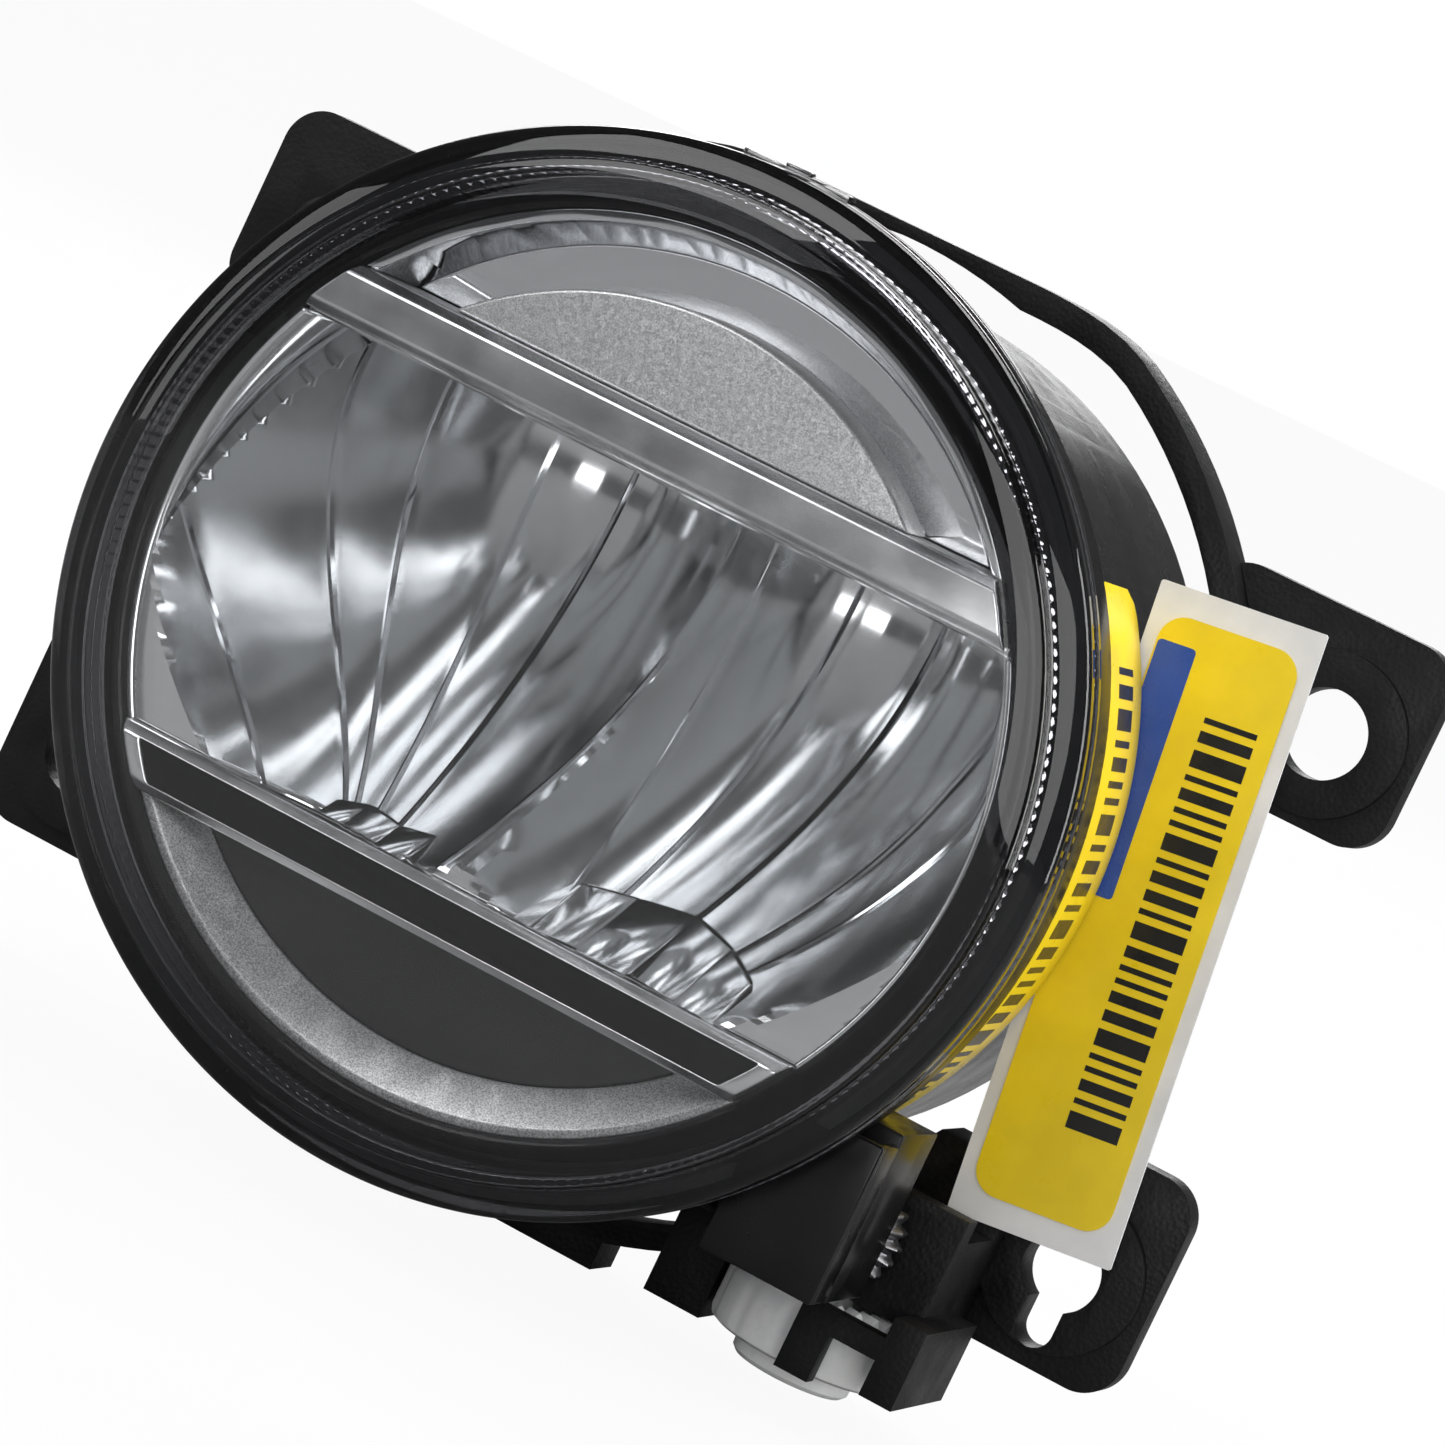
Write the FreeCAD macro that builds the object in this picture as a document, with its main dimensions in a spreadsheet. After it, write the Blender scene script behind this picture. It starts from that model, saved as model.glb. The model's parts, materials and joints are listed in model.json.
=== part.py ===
import FreeCAD, Part
import os
import math
import Sketcher

# LED fog lamp in its tilt bracket.
# Frame: origin on the lens axis in the plane the bracket ears bolt against (their rear faces).
# The lamp shines toward -Y, +X is the viewer's right, +Z is up. Millimetres.

doc = FreeCAD.newDocument("FogLamp")
sheet = doc.addObject("Spreadsheet::Sheet", "Dims")

DIMS = {
    # lens and the front of the housing
    "lens_crown_y": -50.6,
    "lens_mid_r": 24.0,
    "lens_mid_y": -50.0,
    "lens_face_r": 41.7,
    "lens_face_y": -48.4,
    "lens_step_r": 42.5,
    "lens_step_y": -46.8,
    "lens_rim_r": 45.0,
    "lens_rim_y": -45.0,
    "lens_skirt_y": -41.6,
    "lens_wall": 2.0,
    "lens_foot_r": 42.9,
    "lens_foot_wall": 1.5,
    "lens_foot_y": -38.6,
    # housing drum
    "flange_r": 44.3,
    "flange_front_y": -41.0,
    "flange_rear_y": -35.6,
    "groove_r_in": 40.9,
    "groove_r_out": 43.2,
    "groove_y": -37.4,
    "drum_front_r": 42.0,
    "drum_rear_r": 39.3,
    "drum_rear_y": 18.0,
    "drum_corner": 3.6,
    "drum_wall": 2.2,
    # pivot line of the lamp in its bracket
    "pivot_y": -6.0,
    "pin_r": 2.5,
    "pin_fit": 0.05,
    "pin_inner_x": 41.6,
    "pin_outer_x": 49.6,
    "hub_r": 5.2,
    "hub_face_x": 45.2,
    # ring and ears of the bracket
    "ring_r_in": 46.5,
    "ring_r_out": 48.9,
    "ring_front_y": -7.0,
    "ring_rear_y": -1.0,
    "ring_flat_in": 42.4,
    "ring_flat_out": 45.0,
    "ear_rear_y": 0.0,
    "ear_front_y": -3.0,
    "ear_boss_y": -4.2,
    "ear_outer_x": 59.3,
    "ear_inner_x": 36.0,
    "ear_top_hi": 31.6,
    "ear_top_lo": 12.8,
    "ear_low_hi": -19.2,
    "ear_low_lo": -39.6,
    "ear_corner": 3.8,
    "hole_x": 51.0,
    "hole_top_z": 21.0,
    "hole_low_z": -30.6,
    "hole_r": 4.0,
    "boss_r": 7.3,
    "key_r": 3.6,
    "key_slot_r": 1.75,
    "key_slot_drop": 5.4,
    "clear_r": 43.9,
    "ear_joint_x": 46.4,
    "ear_joint_gap": 0.8,
    # side pads that hold the pivot pins
    "pad_in_x": 45.9,
    "pad_out_x": 49.8,
    "pad_half_z": 7.0,
    "pad_front_y": -11.4,
    # adjuster
    "adj_x": 35.5,
    "wheel_y": -14.0,
    "wheel_r": 8.5,
    "wheel_top_z": -40.6,
    "wheel_low_z": -46.0,
    "wheel_crown_r": 8.1,
    "wheel_crown_in": 5.4,
    "wheel_crown_z": -39.3,
    "wheel_hub_r": 2.5,
    "wheel_hub_z": -37.6,
    "wheel_foot_r": 5.4,
    "wheel_foot_z": -47.9,
    "hex_half": 2.5,
    "plate_low_z": -39.0,
    "plate_top_z": -37.4,
    "leg_low_z": -45.8,
    "rail_low_z": -41.4,
    "rail_top_z": -39.3,
    "rail_front_y": -25.0,
    "rail_rear_y": -22.9,
    "cage_half_x": 9.6,
    "cage_wall": 2.2,
    "cage_front_y": -18.4,
    "cage_back_y": -4.0,
    "cage_back_low_z": -46.4,
    "bearing_wall": 2.8,
    "bearing_top_z": -28.4,
    "cage_side_top_z": -30.5,
    "leg_left_out": 14.2,
    "leg_left_in": 8.7,
    "leg_left_low_z": -47.0,
    "leg_left_top_z": -38.4,
    "leg_left_front_y": -16.4,
    "leg_left_rear_y": -6.0,
    "leg_link_front_y": -12.0,
    "leg_link_low_z": -44.0,
    "leg_link_top_z": -34.5,
    "leg_mid_in": 1.2,
    "leg_mid_out": 4.4,
    "leg_right_in": 8.9,
    "leg_right_out": 12.0,
    "leg_right_rear_y": -9.0,
    "leg_right_low_z": -44.6,
    "lug_left_x": -2.0,
    "lug_right_x": 13.6,
    "lug_low_z": -49.6,
    "lug_top_z": -44.6,
    "screw_z": -33.0,
    "screw_r": 2.5,
    "screw_front_y": -36.8,
    "screw_rear_y": -2.4,
    "gear_r": 5.9,
    "gear_front_y": -22.2,
    "gear_rear_y": -19.5,
    "journal_fit": 0.06,
    "nut_y": -30.0,
    "nut_r": 3.3,
    "nut_half_x": 4.0,
    "nut_bore_fit": 0.1,
    "fork_fit": 0.06,
    "arm_half_x": 5.4,
    "arm_half_y": 5.2,
    "arm_low_z": -37.4,
    # reflector
    "opening_r": 38.2,
    "wall_in_r": 36.9,
    "bowl_x": 14.0,
    "bowl_z": 14.0,
    "bowl_back_y": -7.0,
    "bowl_semi_y": 82.0,
    "bowl_semi_x": 36.0,
    "bowl_semi_z": 40.0,
    "bowl_wall": 1.6,
    "ceil_z": 17.0,
    "ceil_wall": 1.4,
    "floor_z": -19.8,
    "refl_front_y": -43.6,
    # bars
    "bar_front_y": -46.1,
    "bar_rear_y": -43.65,
    "bar_r": 37.9,
    "bar_up_z": 20.3,
    "bar_low_z": -22.2,
    "bar_half": 2.45,
    "bar_edge": 0.9,
    "inset_half": 1.55,
    "inset_depth": 0.5,
    # trim plates above and below the bars
    "rim_r_in": 35.8,
    "rim_back_y": -38.0,
    "plate_up_r": 31.5,
    "plate_up_y": -44.0,
    "plate_wall": 1.4,
    "plate_low_r": 34.0,
    "plate_low_y": -41.2,
    # bezel
    "bezel_r_out": 40.4,
    "bezel_front_y": -42.6,
    "bezel_lip_y": -44.3,
    "bezel_lip_r": 39.0,
    "bezel_wall": 1.2,
    "bezel_seat_y": -35.0,
    # light source and its cooling
    "board_half_x": 24.0,
    "board_front_y": -30.0,
    "board_rear_y": -2.5,
    "board_low_z": 18.7,
    "board_wall": 1.6,
    "chip_half": 1.9,
    "chip_y": -15.0,
    "pad_wall": 0.5,
    "sink_arm_wall": 3.4,
    "sink_arm_half_x": 16.5,
    "rear_out_y": 21.6,
    "rear_open_half_x": 17.5,
    "rear_open_low_z": 8.0,
    "rear_open_high_z": 24.9,
    "sink_half_x": 24.0,
    "sink_low_z": 2.5,
    "sink_high_z": 27.5,
    "sink_plate_y0": 22.9,
    "sink_plate_y1": 25.6,
    "sink_fin_y": 38.0,
    "fin_wall": 1.6,
    "fin_count": 9,
    "seal_wall": 1.6,
    "tap_r": 1.35,
    "screw_head_r": 3.0,
    "screw_head_h": 2.1,
    "screw_shank_r": 1.5,
    # electrical socket and breather
    "sock_x": -12.0,
    "sock_z": -16.0,
    "sock_half_x": 8.2,
    "sock_half_z": 6.2,
    "sock_wall": 1.5,
    "sock_floor_y": 22.6,
    "sock_out_y": 38.6,
    "blade_pitch": 5.0,
    "blade_half_w": 1.4,
    "blade_half_t": 0.4,
    "blade_tip_y": 32.0,
    "blade_tail_y": 12.0,
    "vent_x": 16.0,
    "vent_z": -18.0,
    "vent_nip_r": 3.0,
    "vent_nip_y": 27.0,
    "vent_cap_r": 5.4,
    "vent_cap_y": 30.0,
    "vent_bore_r": 1.5,
    "lead_r": 0.9,
    # label
    "label_wall": 0.25,
    "label_front_y": -31.0,
    "label_rear_y": -13.2,
    "label_top_deg": 37.0,
    "label_low_deg": -40.0,
    "tag_y": -13.2,
    "tag_half_w": 6.3,
    "tag_half_l": 26.0,
    "tag_x": 45.6,
    "tag_lean_deg": 7.0,
    "card_half_w": 7.6,
    "card_half_l": 28.4,
    # small walls, laps and gaps
    "rim_shoulder_in": 0.7,
    "rim_shoulder_up": 0.9,
    "lens_haunch": 0.9,
    "flange_taper": 1.6,
    "groove_wall": 1.1,
    "groove_lip": 2.0,
    "hub_inner_x": 36.0,
    "sink_screw_inset": 3.2,
    "sink_post_r": 3.2,
    "sink_post_y": 11.0,
    "pin_bore_x": 40.9,
    "nut_side_gap": 0.15,
    "bearing_front_half_x": 6.4,
    "bearing_rear_half_x": 8.4,
    "pad_clear_half_z": 9.0,
    "chip_half_x": 3.2,
    "chip_window_half_y": 3.0,
    "board_screw_front_y": -25.0,
    "board_screw_rear_y": -10.0,
    "trim_gap": 0.05,
    "rim_wall": 1.2,
    "rim_lap": 1.0,
    "crescent_wall_front": 1.4,
    "crescent_wall_rear": 1.3,
    "crescent_lap": 0.4,
    "crescent_lip": 0.8,
    "bezel_lip_step": 0.5,
    "bezel_slope": 1.4,
    "bezel_drop": 3.0,
    "bezel_seat_in": 1.15,
    "pad_margin": 1.0,
    "fin_side_margin": 7.7,
    "fin_end_margin": 1.4,
    "seal_margin": 0.4,
    "hex_recess_r": 1.45,
    "hex_recess_depth": 3.0,
    "board_screw_head_r": 2.3,
    "board_screw_head": 1.2,
    "film_gap": 0.02,
    "label_arm_gap": 0.3,
}


def alias_cell(number):
    """Cell for the value, in column B, one row for each dimension."""
    return "B%d" % (number + 1)


class Q:
    """A length with both its value and the spreadsheet expression that drives it."""

    def __init__(self, value, text):
        self.v = float(value)
        self.t = text

    def __add__(self, other):
        other = as_q(other)
        return Q(self.v + other.v, "(%s + %s)" % (self.t, other.t))

    def __sub__(self, other):
        other = as_q(other)
        return Q(self.v - other.v, "(%s - %s)" % (self.t, other.t))

    def __mul__(self, other):
        other = as_q(other)
        return Q(self.v * other.v, "(%s * %s)" % (self.t, other.t))

    def __truediv__(self, other):
        other = as_q(other)
        return Q(self.v / other.v, "(%s / %s)" % (self.t, other.t))

    def __neg__(self):
        return Q(-self.v, "(0 - %s)" % self.t)


def as_q(value):
    """A plain number or a driven length, as a driven length."""
    if isinstance(value, Q):
        return value
    return Q(value, "(%.6f)" % value)


for row, (alias, number) in enumerate(DIMS.items()):
    sheet.set("A%d" % (row + 1), alias)
    sheet.set(alias_cell(row), repr(number))
    sheet.setAlias(alias_cell(row), alias)
doc.recompute()


def d(alias):
    """The named dimension from the sheet."""
    return Q(DIMS[alias], "Dims.%s" % alias)


def bind(obj, path, value):
    """Drive a property from the sheet."""
    obj.setExpression(path, as_q(value).t)


def place(obj, x=0.0, y=0.0, z=0.0):
    """Drive an object's position from the sheet."""
    for axis, value in (("x", x), ("y", y), ("z", z)):
        bind(obj, "Placement.Base.%s" % axis, value)


def turn(obj, axis, degrees):
    """Fixed rotation of an object about its own origin."""
    obj.Placement = FreeCAD.Placement(obj.Placement.Base, FreeCAD.Rotation(axis, degrees))


X_AXIS = FreeCAD.Vector(1, 0, 0)
Y_AXIS = FreeCAD.Vector(0, 1, 0)
Z_AXIS = FreeCAD.Vector(0, 0, 1)


def box(name, x0, x1, y0, y1, z0, z1):
    """Box between two corners."""
    obj = doc.addObject("Part::Box", name)
    bind(obj, "Length", as_q(x1) - x0)
    bind(obj, "Width", as_q(y1) - y0)
    bind(obj, "Height", as_q(z1) - z0)
    place(obj, x0, y0, z0)
    return obj


def rod_y(name, radius, y0, y1, x=0.0, z=0.0):
    """Cylinder along Y from y0 to y1."""
    obj = doc.addObject("Part::Cylinder", name)
    turn(obj, X_AXIS, -90)
    bind(obj, "Radius", radius)
    bind(obj, "Height", as_q(y1) - y0)
    place(obj, x, y0, z)
    return obj


def rod_x(name, radius, x0, x1, y=0.0, z=0.0):
    """Cylinder along X from x0 to x1."""
    obj = doc.addObject("Part::Cylinder", name)
    turn(obj, Y_AXIS, 90)
    bind(obj, "Radius", radius)
    bind(obj, "Height", as_q(x1) - x0)
    place(obj, x0, y, z)
    return obj


def rod_z(name, radius, z0, z1, x=0.0, y=0.0):
    """Cylinder along Z from z0 to z1."""
    obj = doc.addObject("Part::Cylinder", name)
    bind(obj, "Radius", radius)
    bind(obj, "Height", as_q(z1) - z0)
    place(obj, x, y, z0)
    return obj


def fuse(name, *shapes):
    """Union."""
    obj = doc.addObject("Part::MultiFuse", name)
    obj.Shapes = list(shapes)
    obj.Refine = True
    return obj


def group(name, *shapes):
    """Separate solids kept together."""
    obj = doc.addObject("Part::Compound", name)
    obj.Links = list(shapes)
    return obj


def cut(name, base, *tools):
    """Base with the tools taken away."""
    tool = tools[0]
    if len(tools) > 1:
        tool = fuse(name + "_tools", *tools)
    obj = doc.addObject("Part::Cut", name)
    obj.Base = base
    obj.Tool = tool
    obj.Refine = True
    return obj


def common(name, *shapes):
    """Shared volume."""
    obj = doc.addObject("Part::MultiCommon", name)
    obj.Shapes = list(shapes)
    obj.Refine = True
    return obj


def origin_plane(body, role):
    """One of the body's own origin planes."""
    for feature in body.Origin.OriginFeatures:
        if feature.Role == role:
            return feature
    raise ValueError(role)


def profile(body, name, points, role="XY_Plane"):
    """Closed outline through the points, every corner driven from the sheet."""
    sketch = body.newObject("Sketcher::SketchObject", name)
    sketch.AttachmentSupport = [(origin_plane(body, role), "")]
    sketch.MapMode = "FlatFace"
    corners = [(as_q(a), as_q(b)) for a, b in points]
    for (xa, ya), (xb, yb) in zip(corners, corners[1:] + corners[:1]):
        start = FreeCAD.Vector(xa.v, ya.v, 0)
        end = FreeCAD.Vector(xb.v, yb.v, 0)
        sketch.addGeometry(Part.LineSegment(start, end), False)
    count = len(corners)
    for index in range(count):
        sketch.addConstraint(Sketcher.Constraint("Coincident", index, 2, (index + 1) % count, 1))
    for index, (xa, ya) in enumerate(corners):
        for kind, value, axis in (("DistanceX", xa, -2), ("DistanceY", ya, -1)):
            if abs(value.v) < 1e-9:
                sketch.addConstraint(Sketcher.Constraint("PointOnObject", index, 1, axis))
                continue
            rule = Sketcher.Constraint(kind, -1, 1, index, 1, value.v)
            place_of_rule = sketch.addConstraint(rule)
            sketch.setExpression("Constraints[%d]" % place_of_rule, value.t)
    return sketch


def turned(name, points):
    """Ring or disc turned about the lamp axis, its section given as (radius, y)."""
    body = doc.addObject("PartDesign::Body", name)
    sketch = profile(body, name + "_section", points)
    solid = body.newObject("PartDesign::Revolution", name + "_turn")
    solid.Profile = sketch
    solid.ReferenceAxis = (sketch, ["V_Axis"])
    solid.Angle = 360.0
    body.Tip = solid
    return body


def padded(name, points, role, length, offset):
    """Flat outline pushed out square to one of the origin planes."""
    body = doc.addObject("PartDesign::Body", name)
    sketch = profile(body, name + "_outline", points, role)
    solid = body.newObject("PartDesign::Pad", name + "_pad")
    solid.Profile = sketch
    bind(solid, "Length", length)
    body.Tip = solid
    if role == "XZ_Plane":
        place(body, 0.0, offset, 0.0)
    if role == "YZ_Plane":
        place(body, offset, 0.0, 0.0)
    return body


def rounded_plate(name, x0, x1, z0, z1, corner, y0, y1):
    """Plate in the XZ plane with round corners."""
    x0, x1, z0, z1, corner = (as_q(v) for v in (x0, x1, z0, z1, corner))
    pieces = [box(name + "_wide", x0, x1, y0, y1, z0 + corner, z1 - corner)]
    pieces.append(box(name + "_tall", x0 + corner, x1 - corner, y0, y1, z0, z1))
    for index, (cx, cz) in enumerate(
        (
            (x0 + corner, z0 + corner),
            (x1 - corner, z0 + corner),
            (x0 + corner, z1 - corner),
            (x1 - corner, z1 - corner),
        )
    ):
        pieces.append(rod_y("%s_corner_%d" % (name, index), corner, y0, y1, cx, cz))
    return fuse(name, *pieces)


NODES = {}


def node(name, obj, label):
    """Name a finished sub-component for export."""
    obj.Label = label
    NODES[name] = obj


BIG = 80.0

# ---------------------------------------------------------------- outer lens

crown_y = d("lens_crown_y")
wall = d("lens_wall")
foot_in = d("lens_foot_r") - d("lens_foot_wall")
lens = turned(
    "OuterLens",
    [
        (0.0, crown_y),
        (d("lens_mid_r"), d("lens_mid_y")),
        (d("lens_face_r"), d("lens_face_y")),
        (d("lens_step_r"), d("lens_step_y")),
        (d("lens_rim_r") - d("rim_shoulder_in"), d("lens_rim_y") - d("rim_shoulder_up")),
        (d("lens_rim_r"), d("lens_rim_y")),
        (d("lens_rim_r"), d("lens_skirt_y")),
        (d("lens_foot_r"), d("lens_skirt_y")),
        (d("lens_foot_r"), d("lens_foot_y")),
        (foot_in, d("lens_foot_y")),
        (foot_in, d("lens_rim_y") - 0.3),
        (foot_in - d("lens_haunch"), d("lens_face_y") + wall),
        (d("lens_mid_r"), d("lens_mid_y") + wall),
        (0.0, crown_y + wall),
    ],
)
node("outer_lens", lens, "Clear outer lens")

# ---------------------------------------------------------------- sealing bead in the flange groove

seal = turned(
    "LensSeal",
    [
        (d("groove_r_in"), d("lens_foot_y")),
        (d("groove_r_out"), d("lens_foot_y")),
        (d("groove_r_out"), d("groove_y")),
        (d("groove_r_in"), d("groove_y")),
    ],
)
node("lens_seal", seal, "Lens sealing bead")

# ---------------------------------------------------------------- housing drum

corner = d("drum_corner")
rear_r = d("drum_rear_r")
inner_rear = rear_r - d("drum_wall")
rear_in_y = d("rear_out_y") - d("drum_wall")
drum_outside = [
    (d("flange_r"), d("flange_front_y")),
    (d("flange_r"), d("flange_rear_y")),
    (d("drum_front_r"), d("flange_rear_y") + d("flange_taper")),
    (rear_r, d("drum_rear_y")),
    (rear_r - corner * 0.3, d("drum_rear_y") + corner * 0.7),
    (rear_r - corner, d("rear_out_y")),
    (0.0, d("rear_out_y")),
]
drum = turned(
    "HousingDrum",
    [
        (d("groove_r_in"), d("groove_y")),
        (d("groove_r_out"), d("groove_y")),
        (d("groove_r_out"), d("flange_front_y")),
        *drum_outside,
        (0.0, rear_in_y),
        (inner_rear - corner, rear_in_y),
        (inner_rear, d("drum_rear_y") - 0.5),
        (d("groove_r_in") - d("groove_wall"), d("bezel_seat_y")),
        (d("groove_r_in") - d("groove_wall"), d("groove_y") - d("groove_lip")),
        (d("groove_r_in"), d("groove_y") - d("groove_lip")),
    ],
)

arm_block = box(
    "ArmBlock",
    d("adj_x") - d("arm_half_x"),
    d("adj_x") + d("arm_half_x"),
    d("nut_y") - d("arm_half_y"),
    d("nut_y") + d("arm_half_y"),
    d("arm_low_z"),
    -22.0,
)
drum_envelope = turned("DrumEnvelope", [(0.0, d("flange_front_y")), *drum_outside])

hub_left = rod_x("HubLeft", d("hub_r"), -d("hub_face_x"), -d("hub_inner_x"), d("pivot_y"), 0.0)
hub_right = rod_x("HubRight", d("hub_r"), d("hub_inner_x"), d("hub_face_x"), d("pivot_y"), 0.0)
hubs = cut("Hubs", group("HubPair", hub_left, hub_right), rod_y("HubTrim", 37.4, -30.0, 15.0))

socket_shell = box(
    "SocketShell",
    d("sock_x") - d("sock_half_x"),
    d("sock_x") + d("sock_half_x"),
    d("rear_out_y"),
    d("sock_out_y"),
    d("sock_z") - d("sock_half_z"),
    d("sock_z") + d("sock_half_z"),
)
vent_nipple = rod_y(
    "VentNipple", d("vent_nip_r"), rear_in_y, d("vent_nip_y"), d("vent_x"), d("vent_z")
)
screw_points = []
for sx in (-1, 1):
    for sz in ("sink_low_z", "sink_high_z"):
        shift = d("sink_screw_inset") if sz == "sink_low_z" else -d("sink_screw_inset")
        screw_points.append(((d("sink_half_x") - d("sink_screw_inset")) * sx, d(sz) + shift))
posts = []
for index, (px, pz) in enumerate(screw_points):
    posts.append(rod_y("SinkPost_%d" % index, d("sink_post_r"), d("sink_post_y"), d("rear_out_y"), px, pz))

housing_solid = fuse("HousingSolid", drum, hubs, vent_nipple, *posts)
pin_bore_r = d("pin_r") + d("pin_fit")
tools = [
    rod_x("PinBoreLeft", pin_bore_r, -BIG, -d("pin_bore_x"), d("pivot_y"), 0.0),
    rod_x("PinBoreRight", pin_bore_r, d("pin_bore_x"), BIG, d("pivot_y"), 0.0),
]
blade_slots = []
for index in (-1, 1):
    blade_slots.append(
        box(
            "BladeSlot_%d" % (index + 1),
            d("sock_x") + d("blade_pitch") * (index * 0.5) - d("blade_half_w"),
            d("sock_x") + d("blade_pitch") * (index * 0.5) + d("blade_half_w"),
            10.0,
            30.0,
            d("sock_z") - d("blade_half_t"),
            d("sock_z") + d("blade_half_t"),
        )
    )
tools.extend(blade_slots)
tools.append(rod_y("VentBore", d("vent_bore_r"), 10.0, 40.0, d("vent_x"), d("vent_z")))
tools.append(
    box(
        "RearOpening",
        -d("rear_open_half_x"),
        d("rear_open_half_x"),
        8.0,
        40.0,
        d("rear_open_low_z"),
        d("rear_open_high_z"),
    )
)
for index, (px, pz) in enumerate(screw_points):
    tools.append(rod_y("SinkTap_%d" % index, d("tap_r"), 12.6, 30.0, px, pz))
housing = cut("Housing", housing_solid, *tools)
node("housing", housing, "Black housing")

# ---------------------------------------------------------------- aiming arm with the fork for the nut

fork_half = d("nut_r") + d("fork_fit")
fork_half_x = d("nut_half_x") + d("nut_side_gap")
fork_pocket = box(
    "ForkPocket",
    d("adj_x") - fork_half_x,
    d("adj_x") + fork_half_x,
    d("nut_y") - fork_half,
    d("nut_y") + fork_half,
    -50.0,
    -28.2,
)
fork_slot = box("ForkSlot", d("adj_x") - 3.1, d("adj_x") + 3.1, -36.0, -24.0, -50.0, -28.8)
arm = cut("AimArm", arm_block, drum_envelope, fork_pocket, fork_slot)
node("aim_arm", arm, "Aiming arm")

# ---------------------------------------------------------------- electrical socket

socket_cavity = box(
    "SocketCavity",
    d("sock_x") - d("sock_half_x") + d("sock_wall"),
    d("sock_x") + d("sock_half_x") - d("sock_wall"),
    d("sock_floor_y"),
    BIG,
    d("sock_z") - d("sock_half_z") + d("sock_wall"),
    d("sock_z") + d("sock_half_z") - d("sock_wall"),
)
connector = cut("ConnectorShell", socket_shell, socket_cavity, *blade_slots)
node("connector_shell", connector, "Plug socket shell")

# ---------------------------------------------------------------- bracket

flat_out = d("ring_flat_out")
ring_outer = common(
    "RingOuter",
    rod_y("RingOuterRound", d("ring_r_out"), d("ring_front_y"), d("ring_rear_y")),
    box("RingOuterFlat", -BIG, BIG, -10.0, 2.0, -BIG, flat_out),
)
ring_inner = common(
    "RingInner",
    rod_y("RingInnerRound", d("ring_r_in"), -12.0, 6.0),
    box("RingInnerFlat", -BIG, BIG, -12.0, 6.0, -BIG, d("ring_flat_in")),
)
ears = []
bosses = []
ear_cuts = []
for side, sx in (("Left", -1), ("Right", 1)):
    for level, top, low, hole_z in (
        ("Upper", "ear_top_hi", "ear_top_lo", "hole_top_z"),
        ("Lower", "ear_low_hi", "ear_low_lo", "hole_low_z"),
    ):
        tag = level + side
        near = d("ear_inner_x") * sx
        far = d("ear_outer_x") * sx
        x0, x1 = (near, far) if sx > 0 else (far, near)
        ears.append(
            rounded_plate(
                "Ear" + tag, x0, x1, d(low), d(top), d("ear_corner"), d("ear_front_y"), d("ear_rear_y")
            )
        )
        bosses.append(
            rod_y("EarBoss" + tag, d("boss_r"), d("ear_boss_y"), d("ear_rear_y"), d("hole_x") * sx, d(hole_z))
        )
        keyed = level == "Lower" and side == "Right"
        bore = d("key_r") if keyed else d("hole_r")
        ear_cuts.append(rod_y("EarHole" + tag, bore, -10.0, 4.0, d("hole_x") * sx, d(hole_z)))
slot_end = d("hole_low_z") - d("key_slot_drop")
ear_cuts.append(rod_y("KeySlotEnd", d("key_slot_r"), -10.0, 4.0, d("hole_x"), slot_end))
ear_cuts.append(
    box(
        "KeySlotSides",
        d("hole_x") - d("key_slot_r"),
        d("hole_x") + d("key_slot_r"),
        -10.0,
        4.0,
        slot_end,
        d("hole_low_z"),
    )
)

pads = []
for side, sx in (("Left", -1), ("Right", 1)):
    near = d("pad_in_x") * sx
    far = d("pad_out_x") * sx
    x0, x1 = (near, far) if sx > 0 else (far, near)
    pads.append(
        box("PinPad" + side, x0, x1, d("pad_front_y"), d("ring_rear_y"), -d("pad_half_z"), d("pad_half_z"))
    )

# adjuster cage: plate over the wheel, two screw bearings, front legs with hooks
adj = d("adj_x")
wheel_y = d("wheel_y")
cage_left = adj - d("cage_half_x")
cage_right = adj + d("cage_half_x")
cage_front = d("cage_front_y")
cage_rear = d("ring_rear_y")
plate_low = d("plate_low_z")
plate_top = d("plate_top_z")
bearing_top = d("bearing_top_z")
plate = box("CagePlate", cage_left, cage_right, cage_front, cage_rear, plate_low, plate_top)
bearing_front = box(
    "CageBearingFront", adj - d("bearing_front_half_x"), cage_right,
    cage_front, cage_front + d("bearing_wall"), plate_low, bearing_top
)
bearing_rear = box(
    "CageBearingRear", adj - d("bearing_rear_half_x"), cage_right,
    d("ring_front_y"), cage_rear, plate_low, bearing_top
)
cage_side = box(
    "CageSide", cage_right - d("cage_wall"), cage_right, cage_front, cage_rear,
    plate_low, d("cage_side_top_z")
)
cage_back = box(
    "CageBack", cage_left, cage_right, d("cage_back_y"), cage_rear,
    d("cage_back_low_z"), d("cage_side_top_z") + 0.5
)
leg_left = box(
    "LegLeft", adj - d("leg_left_out"), adj - d("leg_left_in"), d("leg_left_front_y"), d("leg_left_rear_y"),
    d("leg_left_low_z"), d("leg_left_top_z")
)
leg_left_link = box(
    "LegLeftLink", adj - d("leg_left_out"), adj - d("leg_left_in") - 0.2, d("leg_link_front_y"), cage_rear,
    d("leg_link_low_z"), d("leg_link_top_z")
)
rail_low = d("rail_low_z")
rail_top = d("rail_top_z")
rail_front = d("rail_front_y")
rail_rear = d("rail_rear_y")
leg_mid = box(
    "LegMid", adj + d("leg_mid_in"), adj + d("leg_mid_out"), rail_front, rail_rear, d("leg_low_z"), rail_top
)
front_rail = box(
    "FrontRail", adj + d("leg_mid_in"), adj + d("leg_right_out"), rail_front, rail_rear, rail_low, rail_top
)
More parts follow.
